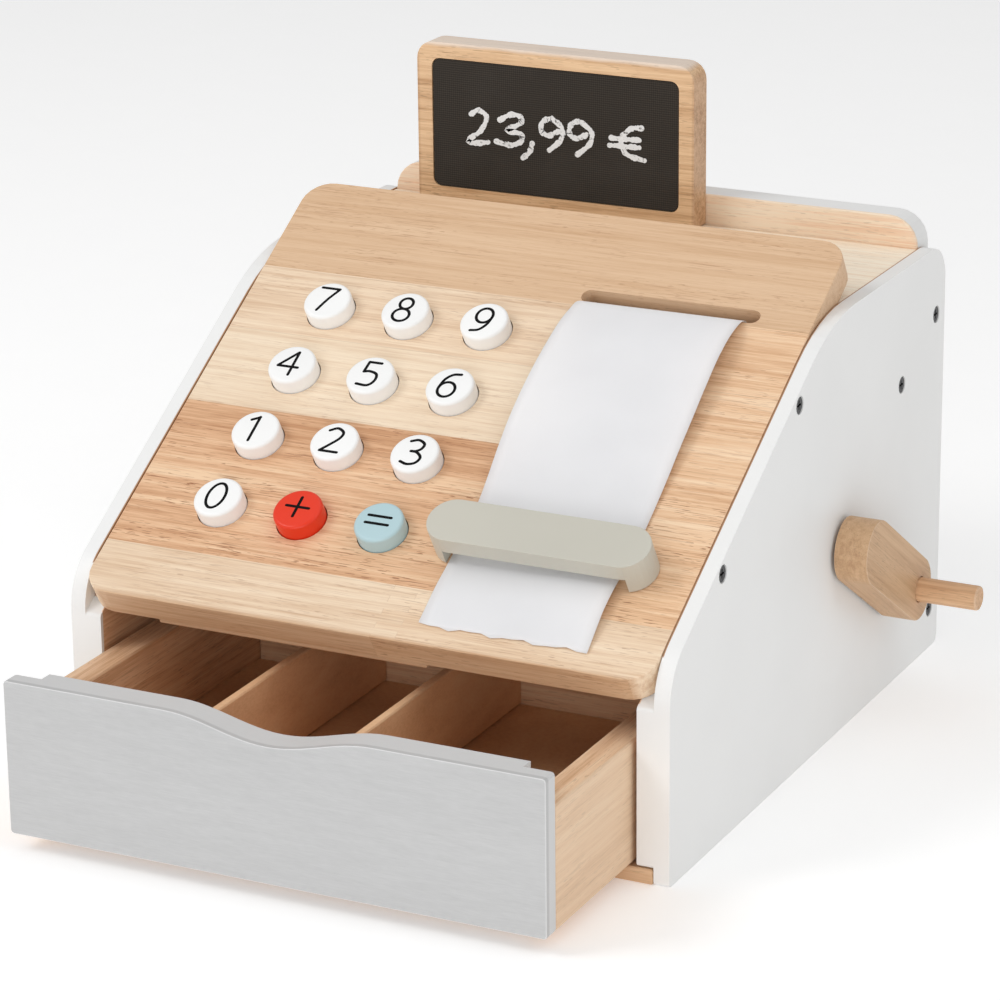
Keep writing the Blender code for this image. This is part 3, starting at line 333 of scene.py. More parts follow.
def key_panel_material():
    """Edge-glued boards across the panel, each finger-jointed from two lengths of different wood."""
    shader = Shader("panel_wood")
    turn = (-SLOPE, 0, 0)
    origin = Matrix.Rotation(-SLOPE, 4, "X") @ FACE
    place = shader.coords((1, 1, 1), turn=turn).outputs[0]
    split = shader.node("SeparateXYZ", {"Vector": place})
    up = shader.math("SUBTRACT", split.outputs[1], origin.y)
    where = shader.map_range(up, PANEL_LOW * MM, (PANEL_LOW + PANEL_SPAN) * MM)
    # the finger joint: its x for each board, in decimetres, and its square fingers
    joint = shader.math("MULTIPLY", stepped(shader, where, (0.05, 0.48, 0.5, 0.44, 1.3)), 100 * MM)
    finger = shader.math("FRACT", shader.math("MULTIPLY", up, 1 / (2 * FINGER_WIDTH)))
    finger = shader.math("MULTIPLY", shader.math("GREATER_THAN", finger, 0.5), FINGER_LENGTH)
    across = shader.math("SUBTRACT", shader.math("SUBTRACT", split.outputs[0], joint), finger)
    right = shader.map_range(across, -0.1 * MM, 0.1 * MM)
    # every length draws its grain from another part of the wood
    layer = stepped(shader, where, (0.1, 0.45, 0.8, 0.25, 0.62))
    layer = shader.math("MULTIPLY_ADD", right, 0.31, layer)
    jump = shader.node("VectorMath", {0: layer, 1: (3.1, 2.3, 1.7)}, operation="MULTIPLY")
    moved = shader.node("VectorMath", {0: place, 1: jump.outputs[0]}, operation="ADD").outputs[0]
    tone, tick, height = grain_nodes(shader, moved, "X")
    pale = toned(shader, tone, PALE)
    top_board = stepped(shader, where, (0, 0, 0, 0, 1))
    warm = shader.mix(top_board, toned(shader, tone, WARM), toned(shader, tone, TAN))
    left = shader.mix(stepped(shader, where, (0.1, 1, 0, 0.18, 1)), pale, warm)
    strip = shader.mix(stepped(shader, where, (0.22, 1, 1, 1, 1)), pale, toned(shader, tone, STRIP))
    colour = shader.mix(right, left, strip)
    marks = stepped(shader, where, (0.3, 0.85, 0.25, 0.3, 0.4))
    marks = shader.math("MAXIMUM", marks, shader.math("MULTIPLY", right, 0.45))
    colour = shader.mix(shader.math("MULTIPLY", tick, marks), colour, linear(146, 88, 52))
    seam = shader.map_range(shader.math("ABSOLUTE", across), 0.05 * MM, 0.2 * MM, 0.6, 0.0)
    for place_up in SEAMS:
        away = shader.math("ABSOLUTE", shader.math("SUBTRACT", up, place_up * MM))
        seam = shader.math("MAXIMUM", seam, shader.map_range(away, 0.05 * MM, 0.22 * MM, 1.0, 0.0))
    colour = shader.mix(shader.math("MULTIPLY", seam, 0.25), colour, linear(160, 118, 84))
    # painted shade: the panel's lower front edge drawn darker and redder, together with its edge grain
    edge = shader.map_range(up, PANEL_FRONT + 0.3 * MM, PANEL_FRONT + 1.5 * MM, 1.0, 0.0)
    colour = shader.mix(edge, colour, (0.78, 0.66, 0.56), "MULTIPLY")
    normal = shader.bump(height, 0.2, 0.08 * MM)
    rough = shader.map_range(height, -1, 0.4, 0.6, 0.48)
    return shader.finish(colour, rough, normal, specular_ior_level=0.35)


def stained_front():
    """Light grey stain that lets a faint level grain through, with a painted highlight along its eased edge
    and painted light on the faces behind its front.
    """
    shader = Shader("grey_stain")
    plate_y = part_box("drawer_front")[0][1]
    streak = shader.noise(shader.coords((75, 800, 800)), 1.0, 3.0, 0.6, 0.2)
    fine = shader.noise(shader.coords((260, 2400, 2400)), 1.0, 1.0, 0.6)
    broad = shader.noise(shader.coords((7, 30, 30)), 1.0, 2.0, 0.5)
    tone = shader.math("ADD", shader.math("MULTIPLY", streak, 0.5), shader.math("MULTIPLY", fine, 0.4))
    tone = shader.math("ADD", tone, shader.math("MULTIPLY", broad, 0.25))
    shades = ((0.34, linear(184, 184, 184)), (0.58, linear(191, 191, 191)), (0.82, linear(198, 198, 198)))
    colour = shader.ramp(tone, shades)
    # painted light: the top and the other faces behind the front drawn paler
    behind = shader.map_range(shader.axis(1), plate_y + 1.4 * MM, plate_y + 2.2 * MM, 0.0, 0.6)
    colour = shader.mix(behind, colour, linear(222, 222, 222))
    # painted highlight: the eased edges drawn pale
    colour = shader.mix(shader.math("MULTIPLY", shader.rim(1), 0.75), colour, linear(232, 232, 232))
    normal = shader.bump(fine, 0.2, 0.08 * MM)
    rough = shader.map_range(streak, 0.3, 0.7, 0.38, 0.52)
    return shader.finish(colour, rough, normal, specular_ior_level=0.45)


def slate_material():
    """Chalkboard coating over a fine woven texture, with rubbed-out chalk dust."""
    shader = Shader("slate")
    place = shader.coords()
    threads = {"Vector": place, "Scale": 420.0, "Distortion": 1.2, "Detail": 2.0}
    threads["Detail Scale"] = 3.0
    level = shader.node("TexWave", threads, bands_direction="Z").outputs["Fac"]
    upright = shader.node("TexWave", threads, bands_direction="X").outputs["Fac"]
    weave = shader.math("MULTIPLY_ADD", level, 0.6, shader.math("MULTIPLY", upright, 0.4))
    dust = shader.noise(shader.coords((20, 20, 34)), 1.0, 4.0, 0.6)
    base = shader.mix(shader.map_range(weave, 0.2, 0.9), linear(42, 37, 32), linear(62, 56, 50))
    colour = shader.mix(shader.map_range(dust, 0.5, 0.85, 0.0, 0.05), base, linear(150, 146, 142))
    normal = shader.bump(weave, 0.12, 0.06 * MM)
    return shader.finish(colour, 0.82, normal, specular_ior_level=0.25)


def chalk_material():
    """Chalk marks: white where the stick touched, slate showing in the hollows."""
    shader = Shader("chalk")
    grain = shader.noise(shader.coords((900,) * 3), 1.0, 3.0, 0.7)
    streak = shader.noise(shader.coords((260, 260, 520)), 1.0, 2.0, 0.6)
    cover = shader.math("ADD", shader.math("MULTIPLY", grain, 0.6), shader.math("MULTIPLY", streak, 0.4))
    colour = shader.mix(shader.map_range(cover, 0.34, 0.44), linear(96, 93, 90), linear(232, 232, 232))
    return shader.finish(colour, 0.95, shader.bump(grain, 0.4, 0.08 * MM), specular_ior_level=0.1)


def paper_material():
    shader = Shader("paper")
    fibre = shader.noise(shader.coords((500,) * 3), 1.0, 4.0, 0.7)
    cloud = shader.noise(shader.coords((30,) * 3), 1.0, 2.0, 0.5)
    colour = shader.mix(shader.map_range(cloud, 0.3, 0.7), linear(238, 238, 241), linear(245, 245, 248))
    normal = shader.bump(fibre, 0.1, 0.04 * MM)
    rough = shader.map_range(fibre, 0.3, 0.7, 0.72, 0.84)
    # a little light comes through the thin sheet
    soft = {"subsurface_weight": 0.5, "subsurface_scale": 0.3 * MM, "subsurface_radius": (1, 1, 1)}
    return shader.finish(colour, rough, normal, specular_ior_level=0.25, **soft)


TURN_SPACING = 0.42 * MM  # of the rings on the roll's end faces


def roll_material():
    """The wound roll: its end faces show the turns as fine rings."""
    shader = Shader("paper_roll")
    low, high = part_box("paper_roll")
    middle = (Vector(low) + Vector(high)) / 2
    place = shader.coords(shift=tuple(-middle))
    split = shader.node("SeparateXYZ", {"Vector": place})
    radius = shader.math(
        "SQRT",
        shader.math(
            "ADD",
            shader.math("POWER", split.outputs[1], 2.0),
            shader.math("POWER", split.outputs[2], 2.0),
        ),
    )
    turn = shader.math("FRACT", shader.math("MULTIPLY", radius, 1 / TURN_SPACING))
    line = shader.map_range(turn, 0.0, 0.35, 0.0, 1.0)
    colour = shader.mix(line, linear(206, 207, 212), linear(241, 242, 247))
    return shader.finish(colour, 0.8, shader.bump(line, 0.25, 0.05 * MM), specular_ior_level=0.25)


def card_material():
    shader = Shader("card")
    fibre = shader.noise(shader.coords((340, 340, 340)), 1.0, 4.0, 0.7)
    colour = shader.ramp(fibre, ((0.3, linear(150, 122, 92)), (0.7, linear(188, 160, 126))))
    return shader.finish(colour, 0.88, shader.bump(fibre, 0.2, 0.06 * MM), specular_ior_level=0.2)


def foam_material():
    shader = Shader("foam")
    cells = shader.node("TexVoronoi", {"Vector": shader.coords(), "Scale": 900.0}).outputs["Distance"]
    colour = shader.ramp(cells, ((0.1, linear(40, 40, 43)), (0.7, linear(92, 92, 96))))
    return shader.finish(colour, 0.95, shader.bump(cells, 0.6, 0.3 * MM), specular_ior_level=0.15)


def steel_material():
    shader = Shader("dark_steel")
    scratch = shader.noise(shader.coords((300, 2400, 2400)), 1.0, 3.0, 0.6)
    colour = shader.ramp(scratch, ((0.3, linear(40, 40, 42)), (0.75, linear(96, 96, 98))))
    rough = shader.map_range(scratch, 0.3, 0.7, 0.28, 0.46)
    return shader.finish(colour, rough, shader.bump(scratch, 0.15, 0.05 * MM), metallic=0.9)


def beech_material(name, grain, turn=(0, 0, 0), shades=BEECH):
    """Beech: even pinkish wood covered in short darker flecks along the grain."""
    shader = Shader(name)
    colour, height = wood_nodes(shader, shades, grain=grain, turn=turn, ticks=0.4)
    # painted highlight: the eased edges of faces looking along X drawn pale
    colour = shader.mix(shader.math("MULTIPLY", shader.rim(0), 0.35), colour, linear(238, 218, 196))
    return shader.finish(colour, 0.5, shader.bump(height, 0.2, 0.08 * MM), specular_ior_level=0.35)


def ink_material():
    shader = Shader("ink")
    speck = shader.noise(shader.coords((900,) * 3), 1.0, 2.0, 0.6)
    colour = shader.mix(shader.map_range(speck, 0.3, 0.7), linear(3, 3, 4), linear(9, 9, 10))
    rough = shader.map_range(speck, 0.2, 0.8, 0.6, 0.75)
    return shader.finish(colour, rough, specular_ior_level=0.15)


# --- materials on the CAD nodes -------------------------------------------------------------------
key_paints = {
    "plus": paint("key_red", linear(233, 54, 22), 0.36, 0.03, 0.08, 2),
    "equals": paint("key_blue", linear(183, 211, 217), 0.38, 0.03, 0.08, 2),
}
key_white = paint("key_white", linear(249, 249, 248), 0.36, 0.02, 0.08, 2)
ink = ink_material()
steel = steel_material()
plain_board = wood("board_x", TAN)
shelf_wood_lit = wood("shelf_wood_lit", SHELF_LIT, shift=(0.3, 0.1, 0.2))
sign_wood = sign_material()
divider_wood = plywood("divider_wood", DIVIDER)
drawer_back_wood = wood("drawer_back_wood", WALL, shift=(0.5, 0.6, 0.2), ticks=0.45)
floor_wood = plywood("floor_wood", FLOOR_PLY)


LEDGE = 5.4 * MM  # how far a side is thicker under the key panel


def side_material(label):
    """White paint all over, but for the inner face and the lip against the boards let into it."""
    side = -1 if label == "left" else 1
    low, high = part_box(label + "_side_panel")
    inner = low[0] if side > 0 else high[0]
    front_y = low[1]
    rear_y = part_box("back_panel")[1][1]
    shader = Shader(label + "_side_paint")
    bare, _ = wood_nodes(shader, WARM, grain="Y")
    cloud = shader.noise(shader.coords((18,) * 3), 1.0, 3.0, 0.5)
    thin, thick = tuple(c * 0.98 for c in WHITE), tuple(c * 1.02 for c in WHITE)
    coat = shader.mix(shader.map_range(cloud, 0.3, 0.7), thin, thick)
    depth = shader.math("MULTIPLY", shader.math("SUBTRACT", shader.axis(0), inner), float(side))
    inside = shader.map_range(depth, 0.2 * MM, 0.5 * MM, 1.0, 0.0)
    lip = shader.map_range(depth, LEDGE + 0.3 * MM, LEDGE + 0.5 * MM, 1.0, 0.0)
    bare = shader.mix(shader.map_range(depth, LEDGE - 0.5 * MM, LEDGE), bare, linear(176, 132, 96))
    wobble = shader.math("MULTIPLY", shader.noise(shader.coords((160,) * 3), 1.0, 2.0, 0.5), 0.5 * MM)
    place = shader.math("ADD", shader.axis(1), wobble)
    behind = shader.map_range(place, front_y + 1.4 * MM, front_y + 1.8 * MM)
    ahead = shader.map_range(place, rear_y - 0.8 * MM, rear_y - 0.4 * MM, 1.0, 0.0)
    covered = shader.map_range(place, front_y + 6 * MM, front_y + 6.5 * MM)
    mask = shader.math("MULTIPLY", inside, behind)
    mask = shader.math("MAXIMUM", mask, shader.math("MULTIPLY", lip, covered))
    mask = shader.math("MULTIPLY", mask, ahead)
    colour = shader.mix(mask, coat, bare)
    peel = shader.noise(shader.coords((420,) * 3), 1.0, 2.0, 0.5)
    speck = shader.noise(shader.coords((900,) * 3), 1.0, 2.0, 0.6)
    gloss = shader.map_range(speck, 0.2, 0.8, 0.42, 0.52)
    return shader.finish(colour, gloss, shader.bump(peel, 0.12, 0.12 * MM), specular_ior_level=0.4)


def wall_material(label):
    """A drawer wall: grain along its length, and painted light that draws its outer face paler."""
    side = -1 if label == "left" else 1
    low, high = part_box(f"drawer_{label}_wall")
    outer = high[0] if side > 0 else low[0]
    shader = Shader(label + "_wall_wood")
    colour, height = wood_nodes(shader, WALL, grain="Y", shift=(0.3 * side, 0.2, 0.1), ticks=0.45)
    depth = shader.math("MULTIPLY", shader.math("SUBTRACT", outer, shader.axis(0)), float(side))
    # painted light: the outer face drawn paler than the inside
    pale = shader.map_range(depth, 0.3 * MM, 0.9 * MM, 1.0, 0.0)
    colour = shader.mix(pale, colour, shader.mix(0.55, colour, linear(232, 206, 177)))
    return shader.finish(colour, 0.58, shader.bump(height, 0.2, 0.08 * MM), specular_ior_level=0.35)


MATERIALS = {
    "left_side_panel": side_material("left"),
    "right_side_panel": side_material("right"),
    "base_board": plain_board,
    "back_panel": back_material(),
    "top_board": shelf_wood_lit,
    "inner_rail": plain_board,
    "drawer_stop_batten": plain_board,
    "key_panel": key_panel_material(),
    "left_key_spacer": plain_board,
    "right_key_spacer": plain_board,
    "key_carrier": plain_board,
    "key_return_foam": foam_material(),
    "left_roll_bracket": plain_board,
    "right_roll_bracket": plain_board,
    "roll_dowel": beech_material("dowel_beech", "X"),
    "paper_bar": paint("sage_paint", SAGE, 0.42, 0.025),
    "sign_board": sign_wood,
    "chalk_slate": slate_material(),
    "crank_bearing_block": plain_board,
    "paper_roll": roll_material(),
    "roll_core": card_material(),
    "drawer_front": stained_front(),
    "drawer_left_wall": wall_material("left"),
    "drawer_right_wall": wall_material("right"),
    "drawer_back": drawer_back_wood,
    "drawer_floor": floor_wood,
    "drawer_left_divider": divider_wood,
    "drawer_right_divider": divider_wood,
    "crank_arm": beech_material("arm_beech", "Y", (math.radians(33.2), 0, 0), ARM_BEECH_AND_SHADE),
    "crank_grip": beech_material("grip_beech", "X"),
    "crank_shaft": beech_material("shaft_beech", "X"),
    "drawer_pusher": beech_material("pusher_beech", "Y"),
    "crank_washer": steel,
}
SMOOTH_ANGLE = math.radians(40)  # an edge that turns less than this is shaded smooth
for node, thing in frame["nodes"].items():
    if "screw" in node:
        MATERIALS[node] = steel
    if node.startswith("key_") and node not in MATERIALS:
        MATERIALS[node] = key_paints.get(node[4:], key_white)
    thing.data.materials.clear()
    thing.data.materials.append(MATERIALS.get(node, plain_board))
    thing.data.shade_smooth()
    thing.data.set_sharp_from_angle(angle=SMOOTH_ANGLE)
    even = thing.modifiers.new("even_shading", "WEIGHTED_NORMAL")
    even.keep_sharp = True


# --- pieces that stand for CAD nodes or are drawn on them -------------------------------------------
def new_piece(name, bm, material, body, matrix=None):
    """A mesh piece, moved by the matrix, that rides on a body."""
    if matrix is not None:
        bm.transform(matrix)
    bmesh.ops.recalc_face_normals(bm, faces=bm.faces)
    mesh = bpy.data.meshes.new(name)
    bm.to_mesh(mesh)
    bm.free()
    mesh.materials.append(material)
    mesh.shade_smooth()
    mesh.set_sharp_from_angle(angle=SMOOTH_ANGLE)
    piece = bpy.data.objects.new(name, mesh)
    bpy.context.scene.collection.objects.link(piece)
    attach(piece, body)
    return piece


def smooth_line(points, steps=6):
    """Points of a Catmull-Rom curve through these 2D points."""
    points = [Vector(p) for p in points]
    if len(points) == 2:
        return points
    ends = [2 * points[0] - points[1], *points, 2 * points[-1] - points[-2]]
    found = []
    for i in range(len(points) - 1):
        a, b, c, d = ends[i : i + 4]
        for k in range(steps):
            t = k / steps
            found.append(
                0.5
                * (2 * b + (c - a) * t + (2 * a - 5 * b + 4 * c - d) * t**2 + (3 * b - 3 * c + d - a) * t**3)
            )
    return [*found, points[-1]]


def ellipse(x, y, rx, ry, steps=40):
    return [
        Vector((x + rx * math.cos(math.tau * k / steps), y + ry * math.sin(math.tau * k / steps)))
        for k in range(steps)
    ]


def add_stroke(bm, line, width, low, high, closed=False, widths=None):
    """A flat band along a 2D line, with round ends unless closed, from height low to high."""
    count = len(line)
    left, right = [], []
    for i, here in enumerate(line):
        if closed:
            along = line[(i + 1) % count] - line[i - 1]
        else:
            along = line[min(i + 1, count - 1)] - line[max(i - 1, 0)]
        along.normalize()
        half = (widths[i] if widths else width) / 2
        across = Vector((-along.y, along.x)) * half
        left.append(here + across)
        right.append(here - across)
    head, tail = round_end(line, left, right), round_start(line, left, right)
    loops = [left, right] if closed else [left + head + right[::-1] + tail]
    rows = []
    for loop in loops:
        top = [bm.verts.new((p.x, p.y, high)) for p in loop]
        bottom = [bm.verts.new((p.x, p.y, low)) for p in loop]
        rows.append((top, bottom))
        size = len(loop)
        for i in range(size):
            j = (i + 1) % size
            bm.faces.new((top[i], top[j], bottom[j], bottom[i]))
    for level in (0, 1):
        if closed:
            a, b = rows[0][level], rows[1][level]
            for i in range(count):
                j = (i + 1) % count
                bm.faces.new((a[i], a[j], b[j], b[i]))
        else:
            ring = rows[0][level]
            starts = len(head)
            a = ring[:count]
            b = ring[count + starts : count + starts + count][::-1]
            for i in range(count - 1):
                bm.faces.new((a[i], a[i + 1], b[i + 1], b[i]))
            bm.faces.new([a[-1], *ring[count : count + starts], b[-1]])
            bm.faces.new([b[0], *ring[2 * count + starts :], a[0]])


def cap(start, end, centre_point, steps=5):
    """Points strictly between start and end on the half circle about centre_point."""
    arm = start - centre_point
    found = []
    for k in range(1, steps):
        angle = -math.pi * k / steps
        found.append(
            centre_point
            + Vector(
                (
                    arm.x * math.cos(angle) - arm.y * math.sin(angle),
                    arm.x * math.sin(angle) + arm.y * math.cos(angle),
                )
            )
        )
    return found


def round_end(line, left, right):
    return cap(left[-1], right[-1], line[-1])


def round_start(line, left, right):
    return cap(right[0], left[0], line[0])


# Each glyph: strokes as points in mm on the key's face, x to the right and y up the slope.
GLYPHS = {
    "0": [("ring", (-0.5, 0.2, 2.9, 4.9))],
    "1": [("line", ((-2.7, 3.5), (-0.2, 4.9))), ("line", ((-0.3, 5.0), (-0.3, -4.7)))],
    "2": [
        ("curve", ((-3.0, 3.8), (-0.6, 5.0), (1.8, 3.6), (1.5, 1.2), (-0.8, -1.8), (-3.1, -4.4))),
        ("line", ((-3.1, -4.4), (2.9, -4.4))),
    ],
    "3": [
        ("curve", ((-2.8, 4.2), (-0.4, 5.0), (1.9, 3.8), (1.7, 1.8), (0.2, 0.6), (-1.3, 0.4))),
        ("curve", ((-1.3, 0.4), (0.8, 0.2), (2.7, -1.6), (1.9, -3.9), (-0.6, -4.8), (-3.1, -4.1))),
    ],
    "4": [
        ("line", ((0.8, 4.9), (0.8, -4.6))),
        ("line", ((0.7, 4.9), (-4.2, -1.3))),
        ("line", ((-4.2, -1.3), (2.8, -1.3))),
    ],
    "5": [
        ("line", ((2.2, 5.0), (-2.1, 5.0))),
        ("line", ((-2.1, 5.0), (-2.4, 0.9))),
        ("curve", ((-2.4, 0.9), (-0.4, 1.3), (2.2, 0.4), (2.6, -2.2), (0.9, -4.4), (-2.9, -4.3))),
    ],
    "6": [
        ("ring", (-0.4, -1.7, 2.8, 3.0)),
        ("curve", ((2.2, 4.9), (-0.4, 4.4), (-2.4, 2.2), (-3.2, -1.2))),
    ],
    "7": [("line", ((-3.6, 4.9), (2.6, 4.9))), ("curve", ((2.6, 4.9), (0.2, 0.3), (-1.7, -4.7)))],
    "8": [("ring", (-0.4, 2.7, 2.2, 2.25)), ("ring", (-0.4, -2.2, 2.8, 2.6))],
    "9": [
        ("ring", (-0.4, 2.0, 2.7, 3.0)),
        ("curve", ((2.3, 1.6), (1.6, -1.6), (-0.2, -4.0), (-2.8, -4.7))),
    ],
    "plus": [("line", ((-4.0, 0.7), (3.7, 0.7))), ("line", ((-0.2, 4.5), (-0.2, -3.1)))],
    "equals": [("line", ((-4.0, 1.9), (3.6, 1.9))), ("line", ((-4.0, -1.0), (3.6, -1.0)))],
}
INK_WIDTH = 0.95 * MM
INK_HEIGHT = 0.05 * MM
INK_STEP = 0.006 * MM  # each stroke stands this much higher than the last, where they cross
KEY_RADIUS = 7.8 * MM
KEY_ROUND = 1.1 * MM
FLANGE_RADIUS = 10 * MM
FLANGE_TOP = -9.8 * MM
FLANGE_EASE = 0.4 * MM


def make_glyph(symbol, body, face):
    """The printed symbol: thin raised strokes on the key's face."""
    bm = bmesh.new()
    for level, (kind, numbers) in enumerate(GLYPHS[symbol]):
        high = INK_HEIGHT + INK_STEP * level
        if kind == "ring":
            line = ellipse(*numbers)
        elif kind == "curve":
            line = smooth_line(numbers, 8)
        else:
            line = [Vector(p) for p in numbers]
        line = [p * MM for p in line]
        add_stroke(bm, line, INK_WIDTH, -0.15 * MM, high, closed=kind == "ring")
    new_piece(f"print_{symbol}", bm, ink, body, face)


def turned(profile, steps):
    """A closed solid turned about Z from an (r, z) profile that starts and ends on the axis."""
    bm = bmesh.new()
    rows = []
    for r, z in profile:
        if r == 0:
            rows.append([bm.verts.new((0, 0, z))])
        else:
            rows.append(
                [
                    bm.verts.new((r * math.cos(math.tau * k / steps), r * math.sin(math.tau * k / steps), z))
                    for k in range(steps)
                ]
            )
    for a, b in zip(rows, rows[1:]):
        for k in range(steps):
            j = (k + 1) % steps
            corners = [a[k % len(a)], a[j % len(a)], b[j % len(b)], b[k % len(b)]]
            corners = list(dict.fromkeys(corners))
            bm.faces.new(corners)
    return bm


def make_keys():
    """Finely turned keys with a soft shoulder, each with its symbol."""
    shoulder = []
    for k in range(7):
        angle = math.pi / 2 * k / 6
        shoulder.append(
            (
                KEY_RADIUS - KEY_ROUND + KEY_ROUND * math.sin(angle),
                KEY_HEIGHT - KEY_ROUND + KEY_ROUND * math.cos(angle),
            )
        )
    profile = [
        (0, KEY_HEIGHT),
        *shoulder,
        (KEY_RADIUS - 0.02 * MM, -4 * MM),
        (KEY_RADIUS, FLANGE_TOP + FLANGE_EASE),
        (KEY_RADIUS + FLANGE_EASE, FLANGE_TOP),
        (FLANGE_RADIUS - FLANGE_EASE, FLANGE_TOP),
        (FLANGE_RADIUS, FLANGE_TOP - FLANGE_EASE),
        (FLANGE_RADIUS, -KEY_DEPTH + FLANGE_EASE),
        (FLANGE_RADIUS - FLANGE_EASE, -KEY_DEPTH),
        (0, -KEY_DEPTH),
    ]
    for node in frame["nodes"]:
        if not node.startswith("key_") or node[4:] not in GLYPHS:
            continue
        symbol = node[4:]
        coat = key_paints.get(symbol, key_white)
        place = Matrix.Translation(top_centre(node) - OUT * KEY_HEIGHT) @ Matrix.Rotation(SLOPE, 4, "X")
        key = new_piece("cap_" + symbol, turned(profile, 72), coat, node, place)
        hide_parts(node)
        make_glyph(symbol, node, place @ Matrix.Translation((0, 0, KEY_HEIGHT)))


# The receipt's edges as (up the slope, height) in mm, from inside the slot to the torn end.
LEFT_EDGE = (
    (102.6, -9.5), (102.2, -2), (98.6, 2.6), (93.5, 4.6), (86.5, 6.5), (78, 7.6),
    (66, 8.4), (54, 8.2), (44, 7.2), (35, 5.4), (26, 3.1), (17, 1.1),
    (8, 0.45), (0, 0.4), (-8, 0.5), (-17, 0.9), (-25, 0.6), (-31.3, 0.3),
)
RIGHT_EDGE = (
    (102.6, -9.5), (102.4, -2), (100.0, 1.4), (95.5, 3.4), (89, 4.9), (80, 5.5),
    (68, 4.8), (56, 3.7), (46, 2.9), (36, 1.8), (27, 1.1), (17, 0.6),
    (8, 0.5), (0, 1.0), (-8, 2.4), (-17, 2.7), (-25, 1.6), (-31.6, 0.5),
)
SHEET_THICKNESS = 0.1 * MM


def make_receipt():
    """The paper: off the roll, up through the slot, over in an arch, under the bar, torn at its end."""
    low, high = (Vector(c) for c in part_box("receipt_paper"))
    roll_low, roll_high = (Vector(c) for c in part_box("paper_roll"))
    roll = (roll_low + roll_high) / 2
    radius = (roll_high.z - roll_low.z) / 2 + 0.15 * MM
    frame_inverse = PANEL_FRAME.inverted()

    def slope_point(y, z):
        place = frame_inverse @ Vector((0, y, z))
        return Vector((place.y, place.z))

    wound = []
    for degrees in (150, 165, 180, 193):
        angle = math.radians(degrees)
        wound.append(slope_point(roll.y + radius * math.cos(angle), roll.z + radius * math.sin(angle)))
    edges = []
    for side in (LEFT_EDGE, RIGHT_EDGE):
        line = wound + [Vector(p) * MM for p in side]
        edges.append(smooth_line(line, 5))
    columns = 16
    bm = bmesh.new()
    rows = []
    last = len(edges[0]) - 1
    for i, (a, b) in enumerate(zip(*edges)):
        row = []
        for k in range(columns + 1):
            share = k / columns
            ease = share * share * (3 - 2 * share)
            point = a.lerp(b, ease)
            x = low.x + (high.x - low.x) * share
            if i == last:
                ragged = 0.5 * math.sin(share * 23 + 0.6) + 0.35 * math.sin(share * 51 + 1.9)
                point.x += ragged * MM
            row.append(bm.verts.new(PANEL_FRAME @ Vector((x, point.x, point.y))))
        rows.append(row)
    for a, b in zip(rows, rows[1:]):
        for k in range(columns):
            bm.faces.new((a[k], a[k + 1], b[k + 1], b[k]))
    paper = new_piece("receipt", bm, paper_material(), "case")
    sheet = paper.modifiers.new("thickness", "SOLIDIFY")
    sheet.thickness = SHEET_THICKNESS
    sheet.offset = 0
    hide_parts("receipt_paper")


# Chalk strokes in mm from the slate's centre: x to the right, z up.
CHALK = (
    ((-31.0, 3.8), (-28.0, 5.5), (-25.0, 3.2), (-27.4, -1.6), (-31.6, -4.8), (-30.6, -6.0), (-24.4, -5.2)),
    (
        (-20.0, 3.0), (-15.6, 5.2), (-12.0, 4.4), (-12.8, 2.2), (-17.6, -0.4),
        (-12.6, -1.0), (-12.2, -3.6), (-16.4, -5.3), (-21.6, -4.5),
    ),
    ((-8.2, -3.9), (-9.1, -6.8), (-11.7, -9.3)),
    ((0.4, 4.4), (-1.4, 5.2), (-4.2, 3.9), (-4.9, 0.9), (-2.3, -0.6), (1.6, 1.2)),
    ((-0.4, 5.0), (2.8, 2.4), (2.3, -1.8), (-1.9, -5.6)),
    ((10.9, 4.4), (9.2, 5.3), (6.2, 4.0), (5.6, 0.9), (8.0, -0.6), (11.8, 1.1)),
    ((10.2, 5.0), (13.6, 2.1), (12.9, -2.1), (8.4, -6.0)),
    ((31.7, 5.3), (27.8, 4.6), (24.8, 1.6), (24.5, -1.6), (27.0, -4.4), (32.8, -5.6)),
    ((20.8, 0.9), (31.0, 1.1)),
    ((20.1, -1.6), (31.0, -1.4)),
)


CHALK_WIDTH = 1.75  # mm


def make_chalk():
    """Hand-drawn chalk: bands whose width and edge waver as the stick skips."""
    low, high = (Vector(c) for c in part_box("chalk_slate"))
    middle = (low + high) / 2
    face = Matrix.Translation((middle.x, low.y, middle.z)) @ Matrix.Rotation(math.pi / 2, 4, "X")
    bm = bmesh.new()
    hand = random.Random(7)
    for index, points in enumerate(CHALK):
        line = [p * MM for p in smooth_line(points, 12)]
        if len(points) == 2:
            line = [line[0].lerp(line[1], k / 24) for k in range(25)]
        widths = [
            (CHALK_WIDTH + 0.3 * math.sin(i * 0.6 + index) + hand.uniform(-0.22, 0.22)) * MM
            for i in range(len(line))
        ]
        shaken = [p + Vector((hand.uniform(-0.1, 0.1), hand.uniform(-0.1, 0.1))) * MM for p in line]
        add_stroke(bm, shaken, 0, -0.1 * MM, (0.06 + 0.008 * index) * MM, widths=widths)
    new_piece("chalk_price", bm, chalk_material(), "case", face)


FOAM_PAD_RADIUS = 10.4 * MM
PAD_CLEARANCE = 0.15 * MM


